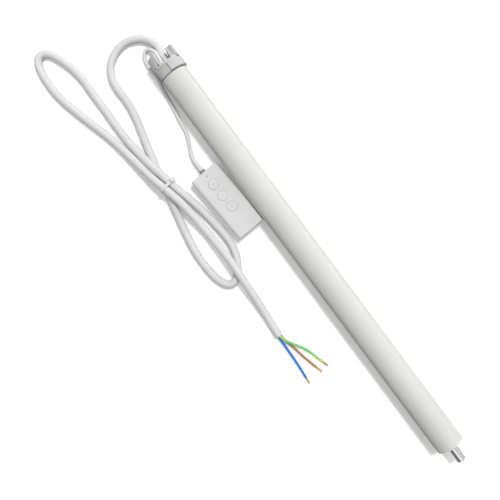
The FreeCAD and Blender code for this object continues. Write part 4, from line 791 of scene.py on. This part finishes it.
def boardFinish(look):
    # tracks under the solder mask show lighter
    material, tree, shader, grain = surfaceFinish("boardMask", look)
    cells = addNode(tree, "ShaderNodeTexBrick", {"Vector": objectSpot(tree), **look["cells"]}).outputs["Fac"]
    overlay(tree, shader, cells, grain.outputs["Color"], opaque(look["trace"]))
    return material


dress(boardFinish(boardLook), "power_board", "control_board", "pod_board")
print("inner parts painted")


# Screws with a cross recess, on the tube and the pod
screwLook = {"light": (0.76, 0.77, 0.78), "dark": (0.62, 0.63, 0.64), "smooth": 0.18, "rough": 0.34,
             "stretch": (1500, 1500, 1500), **machined}
screwSteel = surfaceFinish("screwSteel", screwLook)[0]
screwForm = {"taper": 0.72, "dip": 1.25, "plate": 0.0009, "point": 0.0006, "blunt": 0.45, "segments": 40, "seed": 5,
             "tip": 0.49, "sharpAngle": 35}
screwSets = {
    "tubeScrews": {**screwForm, "node": "tube_screws", "head": 0.0021, "rim": 0.00035, "shank": 0.0012,
                   "recess": 0.0014, "slot": 0.00022, "deep": 0.0008},
    "podScrews": {**screwForm, "node": "pod_screws", "head": 0.0017, "rim": 0.0003, "shank": 0.0009,
                  "recess": 0.0011, "slot": 0.00018, "deep": 0.0007}}


def looseParts(mesh):
    # corners of each solid of a node
    build = bmesh.new()
    build.from_mesh(mesh)
    bmesh.ops.remove_doubles(build, verts=build.verts, dist=1e-6)
    left, found = set(build.verts), []
    while left:
        queue, island = [left.pop()], []
        while queue:
            corner = queue.pop()
            island.append(corner.co.copy())
            for edge in corner.link_edges:
                other = edge.other_vert(corner)
                if other in left:
                    left.remove(other)
                    queue.append(other)
        found.append(island)
    build.free()
    # in a fixed order, so each screw keeps its turn
    return sorted(found, key=lambda island: min(tuple(corner) for corner in island))


def screwMesh(shape, length):
    # turned profile with its cross pressed in; the head's top is at z 0
    build = bmesh.new()
    head, rim, shank, count = shape["head"], shape["rim"], shape["shank"], shape["segments"]
    reach, slot, deep = shape["recess"], shape["slot"], shape["deep"]
    # cross outline from twelve corners
    cross = []
    for quarter in range(4):
        turn = Matrix.Rotation(quarter * math.pi / 2, 2)
        for x, y in ((slot, slot), (reach, slot), (reach, -slot)):
            cross.append(turn @ Vector((x, y)))
    order = sorted(cross, key=lambda spot: math.atan2(spot.y, spot.x))
    taper, plate = shape["taper"], shape["plate"]
    top = [build.verts.new((spot.x, spot.y, 0)) for spot in order]
    floor = [build.verts.new((spot.x * taper, spot.y * taper, -deep)) for spot in order]
    centre = build.verts.new((0, 0, -deep * shape["dip"]))
    for i in range(len(order)):
        j = (i + 1) % len(order)
        build.faces.new((top[i], top[j], floor[j], floor[i]))
        build.faces.new((floor[i], floor[j], centre))
    rings = [(head - rim * 0.4, 0.0), (head - rim * 0.1, -rim * 0.15), (head, -rim * 0.5), (head, -plate),
             (shank, -plate - (head - shank)), (shank, -length + shape["point"]), (shank * shape["blunt"], -length)]
    circles = []
    turns = [2 * math.pi * k / count for k in range(count)]
    for radius, z in rings:
        circles.append([build.verts.new((radius * math.cos(turn), radius * math.sin(turn), z)) for turn in turns])
    for lower, upper in zip(circles[1:], circles):
        for k in range(count):
            build.faces.new((upper[k], lower[k], lower[(k + 1) % count], upper[(k + 1) % count]))
    build.faces.new(list(reversed(circles[-1])))
    # the head's face, between the cross and the rim
    rimEdges = [build.edges.get((circles[0][k], circles[0][(k + 1) % count])) for k in range(count)]
    crossEdges = [build.edges.get((top[i], top[(i + 1) % len(top)])) for i in range(len(top))]
    bmesh.ops.bridge_loops(build, edges=rimEdges + crossEdges)
    bmesh.ops.recalc_face_normals(build, faces=build.faces)
    return meshOf(build, "screwShape")


def placeScrews(name, shape):
    # one point for each screw, which keeps the way its head looks
    spots, ways, length = [], [], 0.0
    for island in looseParts(parts[shape["node"]].data):
        low = Vector([min(corner[k] for corner in island) for k in range(3)])
        high = Vector([max(corner[k] for corner in island) for k in range(3)])
        size = high - low
        centre = (low + high) / 2
        axis = max(range(3), key=lambda k: size[k])
        # the wider end is the head
        wide = {}
        for end in (-1, 1):
            tip = [corner for corner in island if (corner[axis] - centre[axis]) * end > size[axis] * shape["tip"]]
            wide[end] = max((corner - centre).length for corner in tip)
        sign = max(wide, key=wide.get)
        way = Vector([sign if k == axis else 0 for k in range(3)])
        spots.append(centre + way * size[axis] / 2)
        ways.append(way)
        length = size[axis]
    seed = meshFrom(name + "Spots", spots)
    facing = seed.attributes.new("facing", "FLOAT_VECTOR", "POINT")
    for item, way in zip(facing.data, ways):
        item.vector = way
    one = addObject(name + "One", screwMesh(shape, length))
    tree, given, result = geometryTree(name + "Tree", ["Screw Scale"], ["Seed"])
    shown = addNode(tree, "GeometryNodeObjectInfo", {"Object": one}).outputs["Geometry"]
    way = outputOf(tree, "GeometryNodeInputNamedAttribute", {"Name": "facing"}, data_type="FLOAT_VECTOR")
    turn = outputOf(tree, "FunctionNodeAlignEulerToVector", {"Vector": way}, axis="Z")
    spin = addNode(tree, "FunctionNodeRandomValue", {2: 0.0, 3: math.pi / 2, "Seed": given["Seed"]}).outputs[1]
    turns = {"Rotation": turn, "Rotate By": outputOf(tree, "ShaderNodeCombineXYZ", {"Z": spin})}
    turned = outputOf(tree, "FunctionNodeRotateEuler", turns, rotation_type="EULER", space="LOCAL")
    cloud = outputOf(tree, "GeometryNodeMeshToPoints", {"Mesh": given["Geometry"]})
    laid = layOut(tree, cloud, shown, {"Rotation": turned, "Scale": given["Screw Scale"]})
    values = {"Seed": shape["seed"], "Screw Scale": 1.0}
    mesh = runTree(name, endTree(tree, laid, screwSteel, result), values, seed)
    bpy.data.objects.remove(one)
    return addPiece(name, shadeSoft(mesh, shape["sharpAngle"]), screwSteel, [shape["node"]])


for name, shape in screwSets.items():
    placeScrews(name, shape)
print("screws set")


# Plain white floor, soft light from the upper right
stageLook = {"floor": -0.0125, "half": 3.0, "colour": 0.97, "bounce": 0.42, "lift": 0.2, "rough": 0.9}


def addSheet(name, corners):
    sheet = addObject(name, meshFrom(name, corners, [(0, 1, 2, 3)]))
    paper, shader = startMaterial(name + "Paper")
    shader.inputs["Specular IOR Level"].default_value = 0.0
    shader.inputs["Emission Strength"].default_value = 1.0
    sheet.data.materials.append(paper)
    return sheet, shader


half, level = stageLook["half"], stageLook["floor"]
floorCorners = [(x * half, y * half, level) for x, y in ((-1, -1), (1, -1), (1, 1), (-1, 1))]
floor, floorShader = addSheet("floor", floorCorners)
floorTree = floor.data.materials[0].node_tree
# white where it is seen, less so for light that it throws back up
floorRays = addNode(floorTree, "ShaderNodeLightPath").outputs
white, bounce, lift = opaque(stageLook["colour"]), opaque(stageLook["bounce"]), opaque(stageLook["lift"])
overlay(floorTree, floorShader, floorRays["Is Diffuse Ray"], white, bounce)
glow = mixColour(floorTree, floorRays["Is Camera Ray"], opaque(0.0), lift)
floorTree.links.new(glow, floorShader.inputs["Emission Color"])
floorShader.inputs["Roughness"].default_value = stageLook["rough"]

# Cards seen only in reflections, which paint reflections there: dark and grey ones beside the shaft paint its dark and
# grey bands, a dark one along the tube's left edge paints shade on that edge, and bright glowing strips paint the
# highlight streak along its right side
cardFoot = -0.012
cardLooks = {"darkCard": {"y": -0.05, "near": -0.03, "far": 0.1, "high": 0.085, "shade": 0.18},
             "greyCard": {"y": 0.05, "near": -0.03, "far": 0.1, "high": 0.03, "shade": 0.66},
             "edgeCard": {"y": -0.015, "near": -0.405, "far": 0.0, "high": 0.0035, "shade": 0.0},
             "brightStrip": {"y": 0.15, "near": -0.45, "far": -0.05, "high": 0.04, "shade": 3.0},
             "brightEnd": {"y": 0.149, "near": -0.43, "far": -0.355, "high": 0.022, "shade": 6.0}}
for name, look in cardLooks.items():
    y, near, far, high = look["y"], look["near"], look["far"], look["high"]
    cardCorners = [(near, y, cardFoot), (far, y, cardFoot), (far, y, high), (near, y, high)]
    card, cardShader = addSheet(name, cardCorners)
    cardShader.inputs["Base Color"].default_value = opaque(0.0)
    # the card's glow is a painted reflection: painted dark bands and shade, or a painted highlight
    cardShader.inputs["Emission Color"].default_value = opaque(look["shade"])
    for ray in ("camera", "diffuse", "shadow", "transmission"):
        setattr(card, "visible_" + ray, False)

lightPlan = {"sky": 0.43, "backdrop": 1.0, "lamps": {
    "keyWindow": {"from": (-0.18, 0.372, 0.911), "strength": 1.66, "angle": 9.0},
    "sideWindow": {"from": (-0.2, 0.92, 0.34), "strength": 0.79, "angle": 50.0}}}
for name, plan in lightPlan["lamps"].items():
    lamp = bpy.data.lights.new(name, "SUN")
    lamp.energy = plan["strength"]
    lamp.angle = math.radians(plan["angle"])
    holder = addObject(name, lamp)
    holder.rotation_euler = Vector(plan["from"]).to_track_quat("Z", "Y").to_euler()
    holder.visible_glossy = False

world = bpy.data.worlds.new("studio")
scene.world = world
world.use_nodes = True
sky = world.node_tree
sky.nodes.clear()
rays = addNode(sky, "ShaderNodeLightPath").outputs
mirrored = mathOf(sky, "MAXIMUM", rays["Is Glossy Ray"], rays["Is Transmission Ray"])
seen = mathOf(sky, "MAXIMUM", rays["Is Camera Ray"], mirrored)
soft = outputOf(sky, "ShaderNodeBackground", {"Color": opaque(1.0), "Strength": lightPlan["sky"]})
bright = outputOf(sky, "ShaderNodeBackground", {"Color": opaque(1.0), "Strength": lightPlan["backdrop"]})
mixed = outputOf(sky, "ShaderNodeMixShader", {0: seen, 1: soft, 2: bright})
addNode(sky, "ShaderNodeOutputWorld", {"Surface": mixed})
print("floor and light set")
